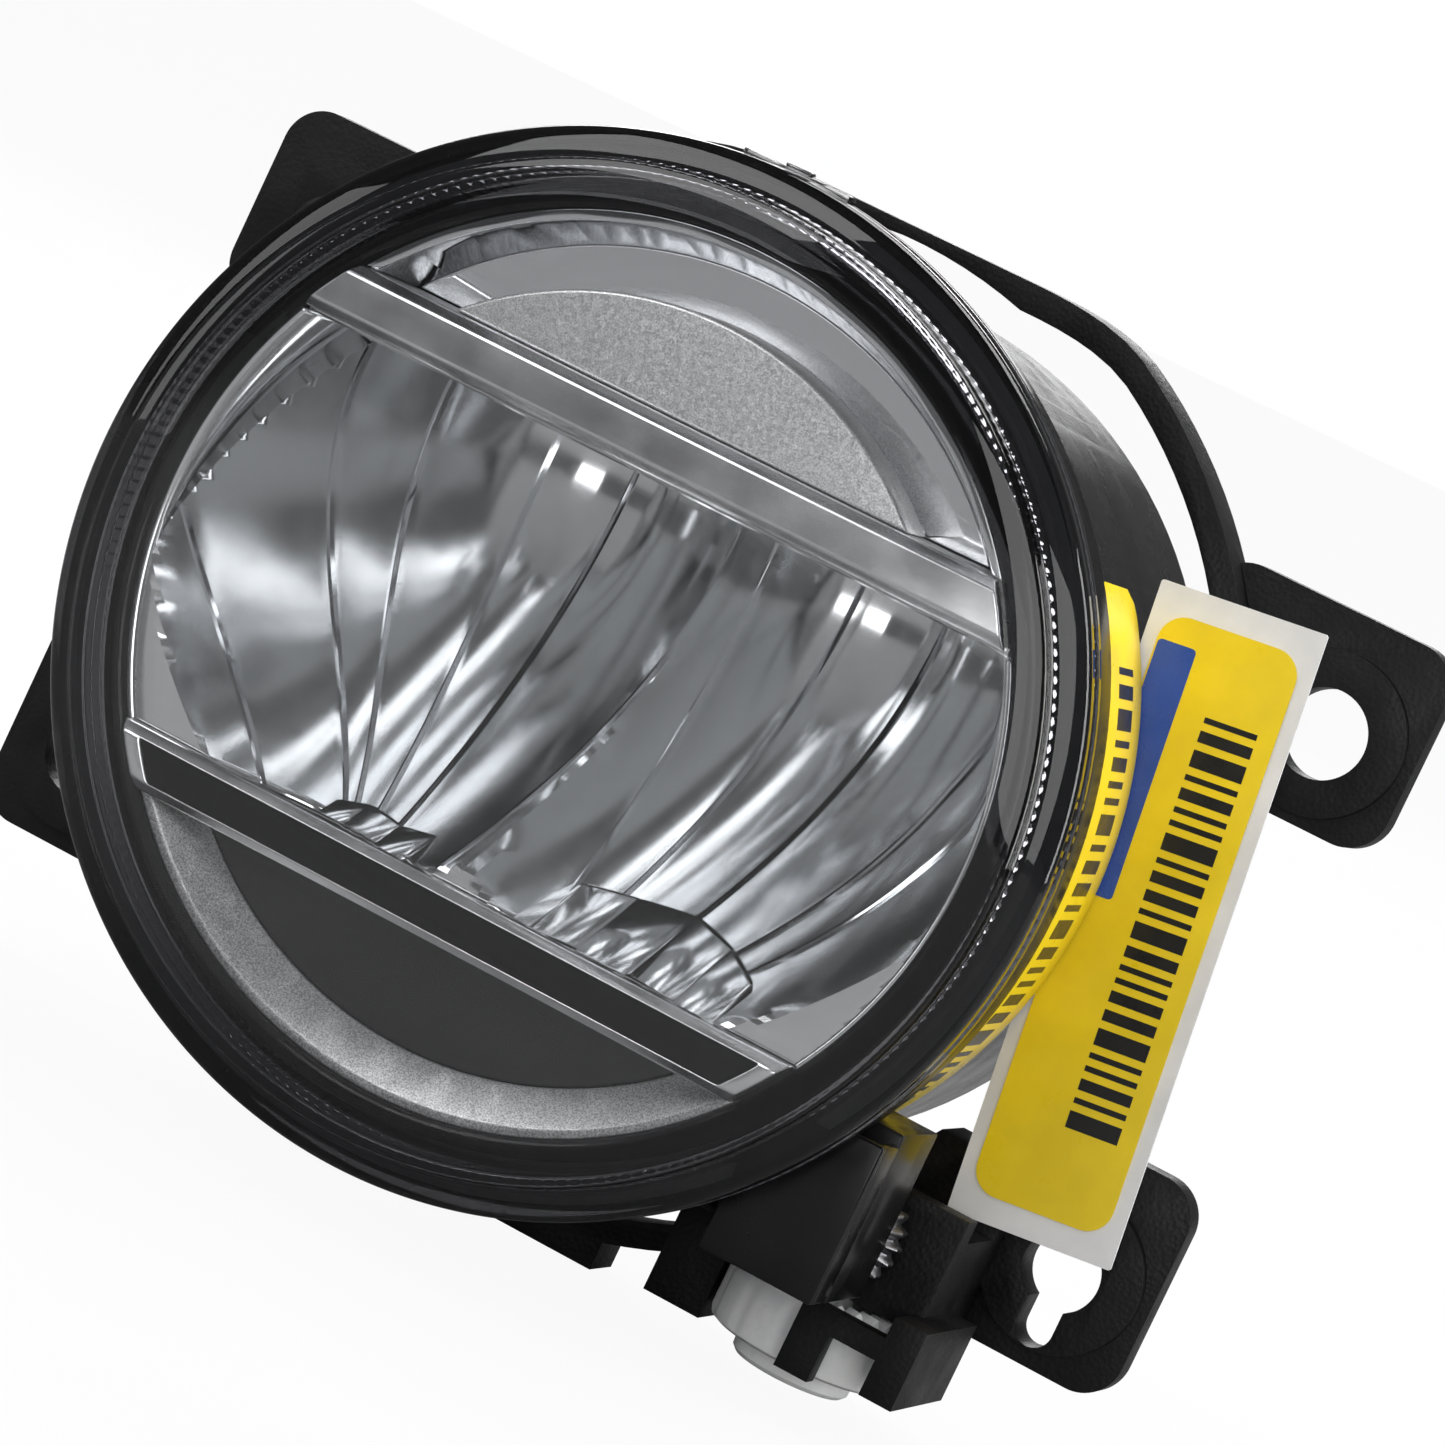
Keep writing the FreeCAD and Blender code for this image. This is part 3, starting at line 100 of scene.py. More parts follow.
class Surface:
    """A material with one Principled shader, and the nodes that vary it."""

    def __init__(self, name, colour, roughness, metallic=0.0):
        self.mat = bpy.data.materials.new(name)
        self.mat.use_nodes = True
        self.tree = self.mat.node_tree
        self.shader = self.tree.nodes["Principled BSDF"]
        self.set("Base Color", (*colour, 1.0))
        self.set("Roughness", roughness)
        self.set("Metallic", metallic)
        self.point = self.tree.nodes.new("ShaderNodeTexCoord").outputs["Object"]

    def set(self, socket, value):
        self.shader.inputs[socket].default_value = value

    def link(self, source, target):
        self.tree.links.new(source, target)

    def noise(self, size_mm, detail=2.0, stretch=(1.0, 1.0, 1.0)):
        """Noise whose blobs are about this many millimetres across."""
        mapping = self.tree.nodes.new("ShaderNodeMapping")
        mapping.inputs["Scale"].default_value = stretch
        self.link(self.point, mapping.inputs["Vector"])
        noise = self.tree.nodes.new("ShaderNodeTexNoise")
        noise.inputs["Scale"].default_value = 1.0 / (size_mm * MM)
        noise.inputs["Detail"].default_value = detail
        self.link(mapping.outputs["Vector"], noise.inputs["Vector"])
        return noise.outputs["Fac"]

    def cells(self, size_mm):
        """Distance from the middle of rounded cells about this many millimetres across."""
        cells = self.tree.nodes.new("ShaderNodeTexVoronoi")
        cells.inputs["Scale"].default_value = 1.0 / (size_mm * MM)
        self.link(self.point, cells.inputs["Vector"])
        return cells.outputs["Distance"]

    def between(self, source, low_in, high_in, low_out, high_out):
        """The source's range mapped to another range."""
        ranged = self.tree.nodes.new("ShaderNodeMapRange")
        span = {"From Min": low_in, "From Max": high_in, "To Min": low_out, "To Max": high_out}
        for socket, value in span.items():
            ranged.inputs[socket].default_value = value
        self.link(source, ranged.inputs["Value"])
        return ranged.outputs["Result"]

    def vary_roughness(self, source, lowest, highest):
        self.link(self.between(source, 0.3, 0.7, lowest, highest), self.shader.inputs["Roughness"])

    def vary_colour(self, source, first, second, low_in=0.35, high_in=0.65):
        """Colour goes from first to second with the source."""
        mix = self.tree.nodes.new("ShaderNodeMix")
        mix.data_type = "RGBA"
        mix.inputs["A"].default_value = (*first, 1.0)
        mix.inputs["B"].default_value = (*second, 1.0)
        self.link(self.between(source, low_in, high_in, 0.0, 1.0), mix.inputs["Factor"])
        self.link(mix.outputs["Result"], self.shader.inputs["Base Color"])

    def bump(self, source, height_mm, strength=1.0, under=None):
        """Surface relief of about this height."""
        bump = self.tree.nodes.new("ShaderNodeBump")
        bump.inputs["Strength"].default_value = strength
        bump.inputs["Distance"].default_value = height_mm * MM
        self.link(source, bump.inputs["Height"])
        if under is not None:
            self.link(under, bump.inputs["Normal"])
        self.link(bump.outputs["Normal"], self.shader.inputs["Normal"])
        return bump.outputs["Normal"]


def grained_plastic():
    """Black moulding with a fine spark-eroded grain, slightly greyed where it was handled."""
    s = Surface("bracket_plastic", (0.005, 0.005, 0.0055), 0.5)
    s.set("Specular IOR Level", 0.26)
    s.vary_colour(s.noise(7.0, 5.0), (0.0035, 0.0035, 0.004), (0.008, 0.008, 0.009))
    s.vary_roughness(s.noise(4.0, 6.0), 0.38, 0.56)
    coarse = s.bump(s.cells(0.45), 0.06, 0.6)
    s.bump(s.noise(0.16, 3.0), 0.012, 0.5, coarse)
    return s.mat


def smooth_plastic():
    """Black housing moulding: glossy, with faint sink marks and smudges."""
    s = Surface("housing_plastic", (0.004, 0.004, 0.0045), 0.24)
    s.set("Specular IOR Level", 0.32)
    s.vary_colour(s.noise(12.0, 3.0), (0.003, 0.003, 0.0035), (0.006, 0.006, 0.0065))
    s.vary_roughness(s.noise(6.0, 6.0), 0.17, 0.32)
    wavy = s.bump(s.noise(8.0, 1.0), 0.012, 0.3)
    s.bump(s.noise(0.35, 2.0), 0.004, 0.5, wavy)
    return s.mat


def gloss_black(name="gloss_black", shine=0.2):
    """Black trim with a polished face."""
    s = Surface(name, (0.0015, 0.0015, 0.002), 0.08)
    s.set("Specular IOR Level", shine)
    s.vary_roughness(s.noise(5.0, 5.0), 0.06, 0.14)
    s.bump(s.noise(3.0, 1.0), 0.004, 0.3)
    return s.mat


def mirror(name="mirror_coat", tint=(0.80, 0.81, 0.83), rough=(0.035, 0.09)):
    """Vacuum-metallised coat, a little hazy in places."""
    s = Surface(name, tint, rough[0], 1.0)
    s.vary_roughness(s.noise(5.0, 6.0), *rough)
    s.bump(s.noise(5.0, 1.0), 0.004, 0.3)
    return s.mat


def satin_silver(name="satin_silver", dull=0.46, bright=0.80):
    """Satin silver coat with sparkling grain."""
    s = Surface(name, (0.50, 0.50, 0.50), 0.36, 0.85)
    s.vary_colour(s.noise(0.14, 1.0), (dull, dull, dull), (bright, bright, bright))
    s.vary_roughness(s.noise(0.5, 2.0), 0.28, 0.44)
    s.bump(s.noise(0.12, 1.0), 0.005, 0.5)
    return s.mat


def dark_satin():
    """Dark grey satin plate with a fine grain."""
    s = Surface("dark_satin", (0.012, 0.012, 0.013), 0.42, 0.3)
    s.vary_colour(s.noise(0.13, 1.0), (0.007, 0.007, 0.008), (0.019, 0.019, 0.020))
    s.vary_roughness(s.noise(0.6, 3.0), 0.34, 0.5)
    s.bump(s.noise(0.12, 1.0), 0.004, 0.5)
    return s.mat


def clear_lens(name, tint):
    """Clear polycarbonate that lets the light through."""
    s = Surface(name, tint, 0.015)
    s.set("Transmission Weight", 1.0)
    s.set("IOR", 1.49)
    s.bump(s.noise(9.0, 1.0), 0.002, 0.3)
    tree = s.tree
    path = tree.nodes.new("ShaderNodeLightPath")
    clear = tree.nodes.new("ShaderNodeBsdfTransparent")
    clear.inputs["Color"].default_value = (0.93, 0.94, 0.95, 1.0)
    mix = tree.nodes.new("ShaderNodeMixShader")
    s.link(path.outputs["Is Shadow Ray"], mix.inputs["Fac"])
    s.link(s.shader.outputs["BSDF"], mix.inputs[1])
    s.link(clear.outputs["BSDF"], mix.inputs[2])
    s.link(mix.outputs["Shader"], tree.nodes["Material Output"].inputs["Surface"])
    return s.mat


def white_nylon():
    """Milky nylon with small sink dimples."""
    s = Surface("white_nylon", (0.92, 0.93, 0.92), 0.34)
    s.set("Subsurface Weight", 0.35)
    s.set("Subsurface Radius", (0.0012, 0.0012, 0.0013))
    s.set("Subsurface Scale", 1.0)
    s.vary_colour(s.noise(2.4, 3.0), (0.86, 0.88, 0.88), (0.96, 0.96, 0.95))
    s.vary_roughness(s.noise(1.5, 4.0), 0.24, 0.42)
    s.bump(s.noise(1.1, 2.0), 0.08, 0.4)
    return s.mat


def metal(name, colour, rough, size_mm, height_mm, stretch=(1.0, 1.0, 1.0)):
    """Bare or plated metal with a grain of the given size."""
    s = Surface(name, colour, rough[0], 1.0)
    darker = tuple(c * 0.78 for c in colour)
    s.vary_colour(s.noise(size_mm * 6.0, 5.0), darker, colour)
    s.vary_roughness(s.noise(size_mm * 3.0, 4.0), *rough)
    s.bump(s.noise(size_mm, 3.0, stretch), height_mm, 0.6)
    return s.mat


def soft(name, colour, rough, size_mm, height_mm):
    """Rubber, film, paper or board: a matt surface with faint mottling."""
    s = Surface(name, colour, rough[0])
    darker = tuple(c * 0.88 for c in colour)
    s.vary_colour(s.noise(size_mm * 9.0, 5.0), darker, colour)
    s.vary_roughness(s.noise(size_mm * 5.0, 4.0), *rough)
    s.bump(s.noise(size_mm, 3.0), height_mm, 0.5)
    return s.mat


MATERIALS = {
    "bracket_plastic": grained_plastic(),
    "housing_plastic": smooth_plastic(),
    "gloss_black": gloss_black(),
    "mirror_coat": mirror(),
    "satin_silver": satin_silver(),
    "dark_satin": dark_satin(),
    "clear_lens": clear_lens("clear_lens", (0.97, 0.975, 0.98)),
    "white_nylon": white_nylon(),
    "steel": metal("steel", (0.60, 0.60, 0.58), (0.24, 0.42), 0.3, 0.01, (1.0, 8.0, 1.0)),
    "cast_aluminium": metal("cast_aluminium", (0.62, 0.63, 0.64), (0.36, 0.56), 0.35, 0.035),
    "terminal_metal": metal("terminal_metal", (0.72, 0.70, 0.64), (0.22, 0.36), 0.3, 0.006, (6.0, 1.0, 1.0)),
    "sealing_bead": soft("sealing_bead", (0.030, 0.030, 0.033), (0.50, 0.72), 0.4, 0.03),
    "board_white": soft("board_white", (0.84, 0.84, 0.81), (0.30, 0.44), 0.5, 0.008),
    "led_phosphor": soft("led_phosphor", (0.88, 0.74, 0.16), (0.30, 0.42), 0.2, 0.01),
    "thermal_pad": soft("thermal_pad", (0.36, 0.44, 0.56), (0.60, 0.80), 0.4, 0.03),
    "lead_sheath": soft("lead_sheath", (0.42, 0.035, 0.03), (0.36, 0.50), 0.5, 0.01),
    "vent_rubber": soft("vent_rubber", (0.022, 0.022, 0.024), (0.50, 0.70), 0.3, 0.02),
    "label_yellow": soft("label_yellow", (0.95, 0.70, 0.012), (0.26, 0.40), 0.7, 0.006),
    "backing_white": soft("backing_white", (0.84, 0.84, 0.85), (0.34, 0.48), 0.6, 0.008),
}
REFLECTOR_COAT = mirror("reflector_coat", (0.82, 0.83, 0.84), (0.09, 0.15))
BAR_COAT = mirror("bar_coat", (0.84, 0.84, 0.85), (0.16, 0.26))
# a darker copy of the steel coat, used for the aim screw
DARKER_STEEL = metal("darker_steel", (0.20, 0.20, 0.21), (0.28, 0.46), 0.3, 0.01, (1.0, 8.0, 1.0))
RIM_GLASS_PAINTED_DARK = clear_lens("rim_glass_painted_dark", (0.22, 0.22, 0.235))  # clear glass tinted dark: painted darkness standing in for the black housing seen through the rim
PRINT_BLUE = soft("print_blue", (0.015, 0.075, 0.42), (0.24, 0.34), 0.5, 0.004)
PRINT_BLACK = soft("print_black", (0.012, 0.012, 0.013), (0.26, 0.36), 0.4, 0.004)
SLOTS = {part["node"]: part["material_slot"] for part in frame["record"]["subparts"]}


# ------------------------------------------------------------------ mesh helpers


def piece(name, bm, body, slot, stands_for=(), material=None, sharp_deg=32.0):
    """Turn a bmesh held in metres into a piece on its body, smooth except over sharp edges."""
    bmesh.ops.recalc_face_normals(bm, faces=bm.faces)
    mesh = bpy.data.meshes.new(name)
    bm.to_mesh(mesh)
    bm.free()
    mesh.shade_smooth()
    mesh.set_sharp_from_angle(angle=math.radians(sharp_deg))
    mesh.materials.append(material or MATERIALS[slot])
    obj = bpy.data.objects.new(name, mesh)
    bpy.context.scene.collection.objects.link(obj)
    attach(obj, body)
    if stands_for:
        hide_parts(*stands_for)
    return obj


def round_edges(bm, width_mm, segments=2, from_deg=28.0):
    """Round every edge that turns more than the angle given."""
    sharp = [e for e in bm.edges if e.is_manifold and e.calc_face_angle(0.0) > math.radians(from_deg)]
    if sharp:
        bmesh.ops.bevel(
            bm, geom=sharp, offset=width_mm * MM, offset_type="OFFSET", segments=segments,
            profile=0.5, affect="EDGES", clamp_overlap=True,
        )


CAD_MERGE_DIST, FLAT_WITHIN_DEG = 2e-6, 0.6


def refined(node, body, width_mm, segments=2, material=None):
    """The CAD node's own shape with moulded or machined edges rounded."""
    bm = bmesh.new()
    bm.from_mesh(nodes[node].data)
    bmesh.ops.remove_doubles(bm, verts=bm.verts, dist=CAD_MERGE_DIST)
    bmesh.ops.dissolve_limit(bm, angle_limit=math.radians(FLAT_WITHIN_DEG), verts=bm.verts, edges=bm.edges)
    round_edges(bm, width_mm, segments)
    piece(node + "_shape", bm, body, SLOTS[node], (node,), material)


def merge_poles(bm):
    """Join the points that fell together on the axis."""
    bmesh.ops.remove_doubles(bm, verts=bm.verts, dist=1e-7)
    bmesh.ops.dissolve_degenerate(bm, edges=bm.edges, dist=1e-8)


def lathe(bm, profile, steps, shape, centre=(0.0, 0.0, 0.0)):
    """Closed ring or disc: the profile, as (radius, along), turned about a Y axis through the centre.

    shape(index, angle) may add to the radius of profile point index."""
    rows = []
    for step in range(steps):
        angle = 2 * math.pi * step / steps
        row = []
        for index, (radius, along) in enumerate(profile):
            grown = radius + (shape(index, angle) if radius > 0 else 0.0)
            place = (grown * math.cos(angle), along, grown * math.sin(angle))
            row.append(bm.verts.new([(c + p) * MM for c, p in zip(centre, place)]))
        rows.append(row)
    count = len(profile)
    for step in range(steps):
        one, two = rows[step], rows[(step + 1) % steps]
        for index in range(count):
            after = (index + 1) % count
            bm.faces.new((one[index], one[after], two[after], two[index]))
    merge_poles(bm)


def block(bm, low_corner, high_corner):
    """Box between two corners, in millimetres."""
    made = bmesh.ops.create_cube(bm, size=1.0)["verts"]
    size = Vector(high_corner) - Vector(low_corner)
    middle = (Vector(high_corner) + Vector(low_corner)) / 2
    bmesh.ops.scale(bm, vec=size * MM, verts=made)
    bmesh.ops.translate(bm, vec=middle * MM, verts=made)
    return made


def slab(bm, outline, thickness, matrix):
    """Flat sheet: an outline in its own XZ plane pushed along +Y, then placed by the matrix."""
    front = [bm.verts.new(matrix @ Vector((x * MM, 0.0, z * MM))) for x, z in outline]
    back = [bm.verts.new(matrix @ Vector((x * MM, thickness * MM, z * MM))) for x, z in outline]
    bm.faces.new(front)
    bm.faces.new(list(reversed(back)))
    count = len(outline)
    for index in range(count):
        after = (index + 1) % count
        bm.faces.new([front[index], back[index], back[after], front[after]])


def rounded(half_w, half_l, radius, steps=8, middle=(0.0, 0.0)):
    """Outline of a rectangle with round corners."""
    points = []
    for corner, (sx, sz) in enumerate(((1, 1), (-1, 1), (-1, -1), (1, -1))):
        for step in range(steps + 1):
            angle = math.radians(90 * corner + 90 * step / steps)
            points.append(
                (
                    middle[0] + sx * (half_w - radius) + radius * math.cos(angle),
                    middle[1] + sz * (half_l - radius) + radius * math.sin(angle),
                )
            )
    return points


# ------------------------------------------------------------------ camera, light and floor


RIM_Y = -45.0  # plane of the lens rim
VIEW_AZIMUTH, VIEW_ELEVATION, VIEW_ROLL = 16.8, 5.38, 25.42  # degrees
VIEW_RIGHT, VIEW_DOWN, VIEW_BACK = 13.48, 4.13, 516.0  # from the rim's centre, in millimetres
FOCAL_MM, SENSOR_MM = 156.96, 36.0


def make_camera():
    """Long lens, from a little above and to the right, turned clockwise."""
    azimuth, elevation, roll = (math.radians(a) for a in (VIEW_AZIMUTH, VIEW_ELEVATION, VIEW_ROLL))
    back = Vector(
        (
            math.sin(azimuth) * math.cos(elevation),
            -math.cos(azimuth) * math.cos(elevation),
            math.sin(elevation),
        )
    )
    level = Vector((math.cos(azimuth), math.sin(azimuth), 0.0))
    upright = back.cross(level)
    right = math.cos(roll) * level + math.sin(roll) * upright
    up = math.cos(roll) * upright - math.sin(roll) * level
    rim_centre = Vector((0.0, RIM_Y, 0.0))
    spot = (rim_centre + VIEW_RIGHT * right - VIEW_DOWN * up + VIEW_BACK * back) * MM
    data = bpy.data.cameras.new("Camera")
    data.lens = FOCAL_MM
    data.sensor_width = SENSOR_MM
    data.clip_start = 0.01
    camera = bpy.data.objects.new("Camera", data)
    bpy.context.scene.collection.objects.link(camera)
    turn = Matrix((right, up, back)).transposed().to_4x4()
    camera.matrix_world = Matrix.Translation(spot) @ turn
    bpy.context.scene.camera = camera


LIGHT_AIM = (0.0, -0.02, 0.0)
LIGHTS = (  # name, place and size in metres, power in watts
    ("key", (-0.55, -0.85, 0.75), (0.70, 0.55), 4.2),
    ("right_box", (1.00, 0.20, 0.40), (0.40, 0.90), 7.0),
    ("left_strip", (-0.90, -0.55, 0.05), (0.22, 0.70), 1.0),
    ("top_box", (0.10, 0.30, 0.95), (0.80, 0.45), 7.0),
    ("front_box", (0.35, -1.05, 0.22), (0.62, 0.50), 2.6),
    ("low_box", (0.20, -0.85, -0.35), (0.40, 0.20), 2.0),
    ("rear_box", (-0.35, 0.90, 0.45), (0.60, 0.45), 4.0),
)


def area_light(name, spot, size, power):
    """Soft box that faces the lamp."""
    data = bpy.data.lights.new(name, "AREA")
    data.shape = "RECTANGLE"
    data.size, data.size_y = size
    data.energy = power
    light = bpy.data.objects.new(name, data)
    bpy.context.scene.collection.objects.link(light)
    light.location = spot
    light.rotation_euler = (Vector(LIGHT_AIM) - Vector(spot)).to_track_quat("-Z", "Y").to_euler()


# how bright the surroundings are in mirror and glass, as fill light, and behind the lamp
SURROUND_MIRRORED, SURROUND_FILL, SURROUND_SEEN = 0.10, 0.75, 1.0
FLOOR_GAP, FLOOR_R = 0.0002, 8.0  # metres
FLOOR_GLOW, FLOOR_GLOW_SHARE = 1.1, 0.85  # seen by the camera only


def make_studio():
    """Pale floor, pale surroundings and soft boxes."""
    bpy.context.scene.view_settings.view_transform = "Standard"
    floor_z = cad_box[0][2] - FLOOR_GAP
    bm = bmesh.new()
    bmesh.ops.create_circle(bm, cap_ends=True, radius=FLOOR_R, segments=96)
    mesh = bpy.data.meshes.new("floor")
    bm.to_mesh(mesh)
    bm.free()
    floor = bpy.data.objects.new("floor", mesh)
    floor.location.z = floor_z
    bpy.context.scene.collection.objects.link(floor)
    s = Surface("floor_paper", (0.2, 0.2, 0.2), 0.85)
    s.vary_colour(s.noise(40.0, 2.0), (0.19, 0.19, 0.19), (0.21, 0.21, 0.21))
    tree = s.tree
    path = tree.nodes.new("ShaderNodeLightPath")
    glow = tree.nodes.new("ShaderNodeEmission")
    glow.inputs["Strength"].default_value = FLOOR_GLOW
    mix = tree.nodes.new("ShaderNodeMixShader")
    s.link(s.between(path.outputs["Is Camera Ray"], 0.0, 1.0, 0.0, FLOOR_GLOW_SHARE), mix.inputs["Fac"])
    s.link(s.shader.outputs["BSDF"], mix.inputs[1])
    s.link(glow.outputs["Emission"], mix.inputs[2])
    clear = tree.nodes.new("ShaderNodeBsdfTransparent")
    one_sided = tree.nodes.new("ShaderNodeMixShader")
    side = tree.nodes.new("ShaderNodeNewGeometry")
    s.link(side.outputs["Backfacing"], one_sided.inputs["Fac"])
    s.link(mix.outputs["Shader"], one_sided.inputs[1])
    s.link(clear.outputs["BSDF"], one_sided.inputs[2])
    s.link(one_sided.outputs["Shader"], tree.nodes["Material Output"].inputs["Surface"])
    mesh.materials.append(s.mat)

    world = bpy.data.worlds.new("studio")
    bpy.context.scene.world = world
    world.use_nodes = True
    tree = world.node_tree
    path = tree.nodes.new("ShaderNodeLightPath")
    shades = []
    for grey in (SURROUND_MIRRORED, SURROUND_FILL, SURROUND_SEEN):
        shade = tree.nodes.new("ShaderNodeBackground")
        shade.inputs["Color"].default_value = (grey, grey, grey * 1.01, 1.0)
        shades.append(shade.outputs["Background"])
    shown = shades[0]
    for ray, shade in (("Is Diffuse Ray", shades[1]), ("Is Camera Ray", shades[2])):
        mix = tree.nodes.new("ShaderNodeMixShader")
        tree.links.new(path.outputs[ray], mix.inputs["Fac"])
        tree.links.new(shown, mix.inputs[1])
        tree.links.new(shade, mix.inputs[2])
        shown = mix.outputs["Shader"]
    tree.links.new(shown, tree.nodes["World Output"].inputs["Surface"])

    for light in LIGHTS:
        area_light(*light)


make_camera()
make_studio()


# ------------------------------------------------------------------ outer lens


FACE_R, FACE_RISE, FACE_THICK = 41.7, 2.2, 2.0  # lens face: radius, how much it is domed, thickness
FACE_INNER_R, FACE_STEPS = 40.4, 16
WALL_OUT_R, WALL_IN_R, KNURL_R = 42.9, 41.4, 41.3
KNURL_DEPTH, KNURL_WAVES = 0.22, 120.0
DARK_RIM_R = 40.3
LENS_TURN_STEPS = 960


def outer_lens():
    """Domed clear lens with a stepped rim, a knurled band inside and a locating tab on top."""
    face_y = LENS_FRONT_Y + FACE_RISE
    profile = []
    for step in range(FACE_STEPS + 1):
        share = step / FACE_STEPS
        profile.append((FACE_R * share, LENS_FRONT_Y + (face_y - LENS_FRONT_Y) * share ** 2))
    profile += [
        (FACE_R + 0.25, face_y + 0.15), (FACE_R + 0.42, face_y + 0.5), (FACE_R + 0.5, RIM_Y - 2.1),
        (FACE_R + 0.75, RIM_Y - 1.75), (FACE_R + 1.3, RIM_Y - 1.6), (LENS_R - 1.1, RIM_Y - 1.15),
        (LENS_R - 0.5, RIM_Y - 0.9), (LENS_R - 0.15, RIM_Y - 0.55), (LENS_R, RIM_Y - 0.1),
        (LENS_R, RIM_Y + 1.0), (LENS_R - 0.25, RIM_Y + 1.25), (LENS_R - 0.25, RIM_Y + 1.6),
        (LENS_R, RIM_Y + 1.85), (LENS_R, RIM_Y + 3.1), (LENS_R - 0.3, RIM_Y + 3.4),
        (WALL_OUT_R, RIM_Y + 3.4), (WALL_OUT_R, LENS_REAR_Y), (WALL_IN_R, LENS_REAR_Y),
    ]
    first_knurl = len(profile)
    profile += [(WALL_IN_R, RIM_Y + 1.6), (KNURL_R, RIM_Y + 0.9), (KNURL_R, RIM_Y - 0.1), (41.2, RIM_Y - 0.9)]
    last_knurl = len(profile) - 1
    profile.append((40.7, RIM_Y - 1.5))
    for step in range(FACE_STEPS - 1, -1, -1):
        share = step / FACE_STEPS
        along = LENS_FRONT_Y + FACE_THICK + (face_y - LENS_FRONT_Y) * share ** 2
        profile.append((FACE_INNER_R * share, along))

    def knurl(index, angle):
        if first_knurl < index < last_knurl:
            return -KNURL_DEPTH * abs(math.sin(angle * KNURL_WAVES))
        return 0.0

    bm = bmesh.new()
    lathe(bm, profile, LENS_TURN_STEPS, knurl)
    lens = piece("lens", bm, "lamp", "clear_lens", ("outer_lens",), sharp_deg=50.0)
    lens.data.materials.append(RIM_GLASS_PAINTED_DARK)
    # faces outside DARK_RIM_R take the dark-tinted rim glass, a painted darkness for the housing behind it
    for face in lens.data.polygons:
        if math.hypot(face.center.x, face.center.z) > DARK_RIM_R * MM:
            face.material_index = 1

    bm = bmesh.new()
    block(bm, (-5.0, -44.3, LENS_R - 0.6), (5.0, -42.1, LENS_R + 0.35))
    block(bm, (-1.2, -44.3, LENS_R + 0.3), (1.2, -42.6, LENS_R + 0.7))
    round_edges(bm, 0.2, 2)
    piece("lens_tab", bm, "lamp", "clear_lens")


outer_lens()


# ------------------------------------------------------------------ reflector

DEEP_Y = -6.3  # the two bowls' deepest points
BOWL_X, BOWL_Z = 14.0, 14.0
ACROSS, ALONG = 20.5, 36.0  # how fast the bowls come forward, sideways and downwards
OPENING_R = 38.1
# each rib runs from (x at the top, x at the foot)
RIBS = (
    (-56.0, -36.0), (-49.0, -30.0), (-42.5, -23.0), (-34.0, -15.7), (-29.0, -14.4),
    (-21.0, -12.1), (-13.9, -9.5), (0.2, -2.4), (2.8, 6.6), (9.6, 9.4),
    (17.9, 14.8), (28.2, 19.3), (33.5, 21.7), (45.0, 29.0), (60.0, 37.0),
)
RIB_TOP_Z, RIB_FOOT_Z = 14.0, -18.0
FLUTE_DEPTH = 0.04  # share of a flute's width
CREST_HALF_W, CREST_H = 0.30, 0.45  # thin crest that runs along each rib
CREST_ROOT = 0.3  # how deep a crest sits in the bowl
WALL_FRONT_Y = -43.5
BOWL_WALL, SIDE_WALL = 1.2, 0.8
BOWL_LOW_Z, BOWL_TOP_Z = BAR_LOW_TOP_Z - 0.3, BAR_UP_LOW_Z - 0.4
BOWL_ROWS, FLUTE_COLUMNS, WALL_STEPS = 84, 9, 120

# flat facets side by side at the feet of the ribs: left x, right x, height of the top edge at its left and
# right end, and how far the top edge and the foot stand out of the bowl
FACETS = (
    (-15.4, -12.9, -18.8, -18.1, 0.5, 1.4), (-12.9, -9.2, -18.1, -18.3, 0.6, 0.9),
    (-9.2, -5.8, -18.3, -17.6, 0.5, 1.8), (-5.8, 6.6, -20.6, -15.9, 0.4, 1.2),
    (6.6, 10.6, -15.8, -15.2, 0.8, 1.3), (10.6, 15.4, -15.2, -14.5, 0.9, 2.6),
    (15.4, 20.2, -14.5, -15.2, 0.8, 1.2), (20.2, 24.4, -15.2, -16.3, 0.7, 2.3),
)
FACET_DEPTH = 2.5


def rib_lines(z):
    """Where the ribs are at this height: they curve inwards on the way down."""
    t = ((RIB_TOP_Z - z) / (RIB_TOP_Z - RIB_FOOT_Z)) ** 2
    return [top + (foot - top) * t for top, foot in RIBS]


def bowl_depth(x, z):
    """Smooth surface of the two bowls."""
    forward = (abs(x) - BOWL_X) ** 2 / ACROSS + (z - BOWL_Z) ** 2 / ALONG
    return DEEP_Y - forward


def flute(x, lines):
    """How far a flute is hollowed between its two ribs: 0 on a rib, its own width in its middle."""
    for left, right in zip(lines, lines[1:]):
        if left <= x <= right:
            t = (x - left) / (right - left)
            return 4 * t * (1 - t) * (right - left)
    return 0.0


def reach(z):
    """Half the width of the round opening at this height."""
    return math.sqrt(OPENING_R ** 2 - z * z)


def heights(steps):
    """Heights from the lower bar to the upper one."""
    return [BOWL_LOW_Z + (BOWL_TOP_Z - BOWL_LOW_Z) * step / steps for step in range(steps + 1)]


def prism(bm, front, rear):
    """Four side faces between two rings of four corners."""
    for k in range(4):
        after = (k + 1) % 4
        bm.faces.new((front[after], front[k], rear[k], rear[after]))


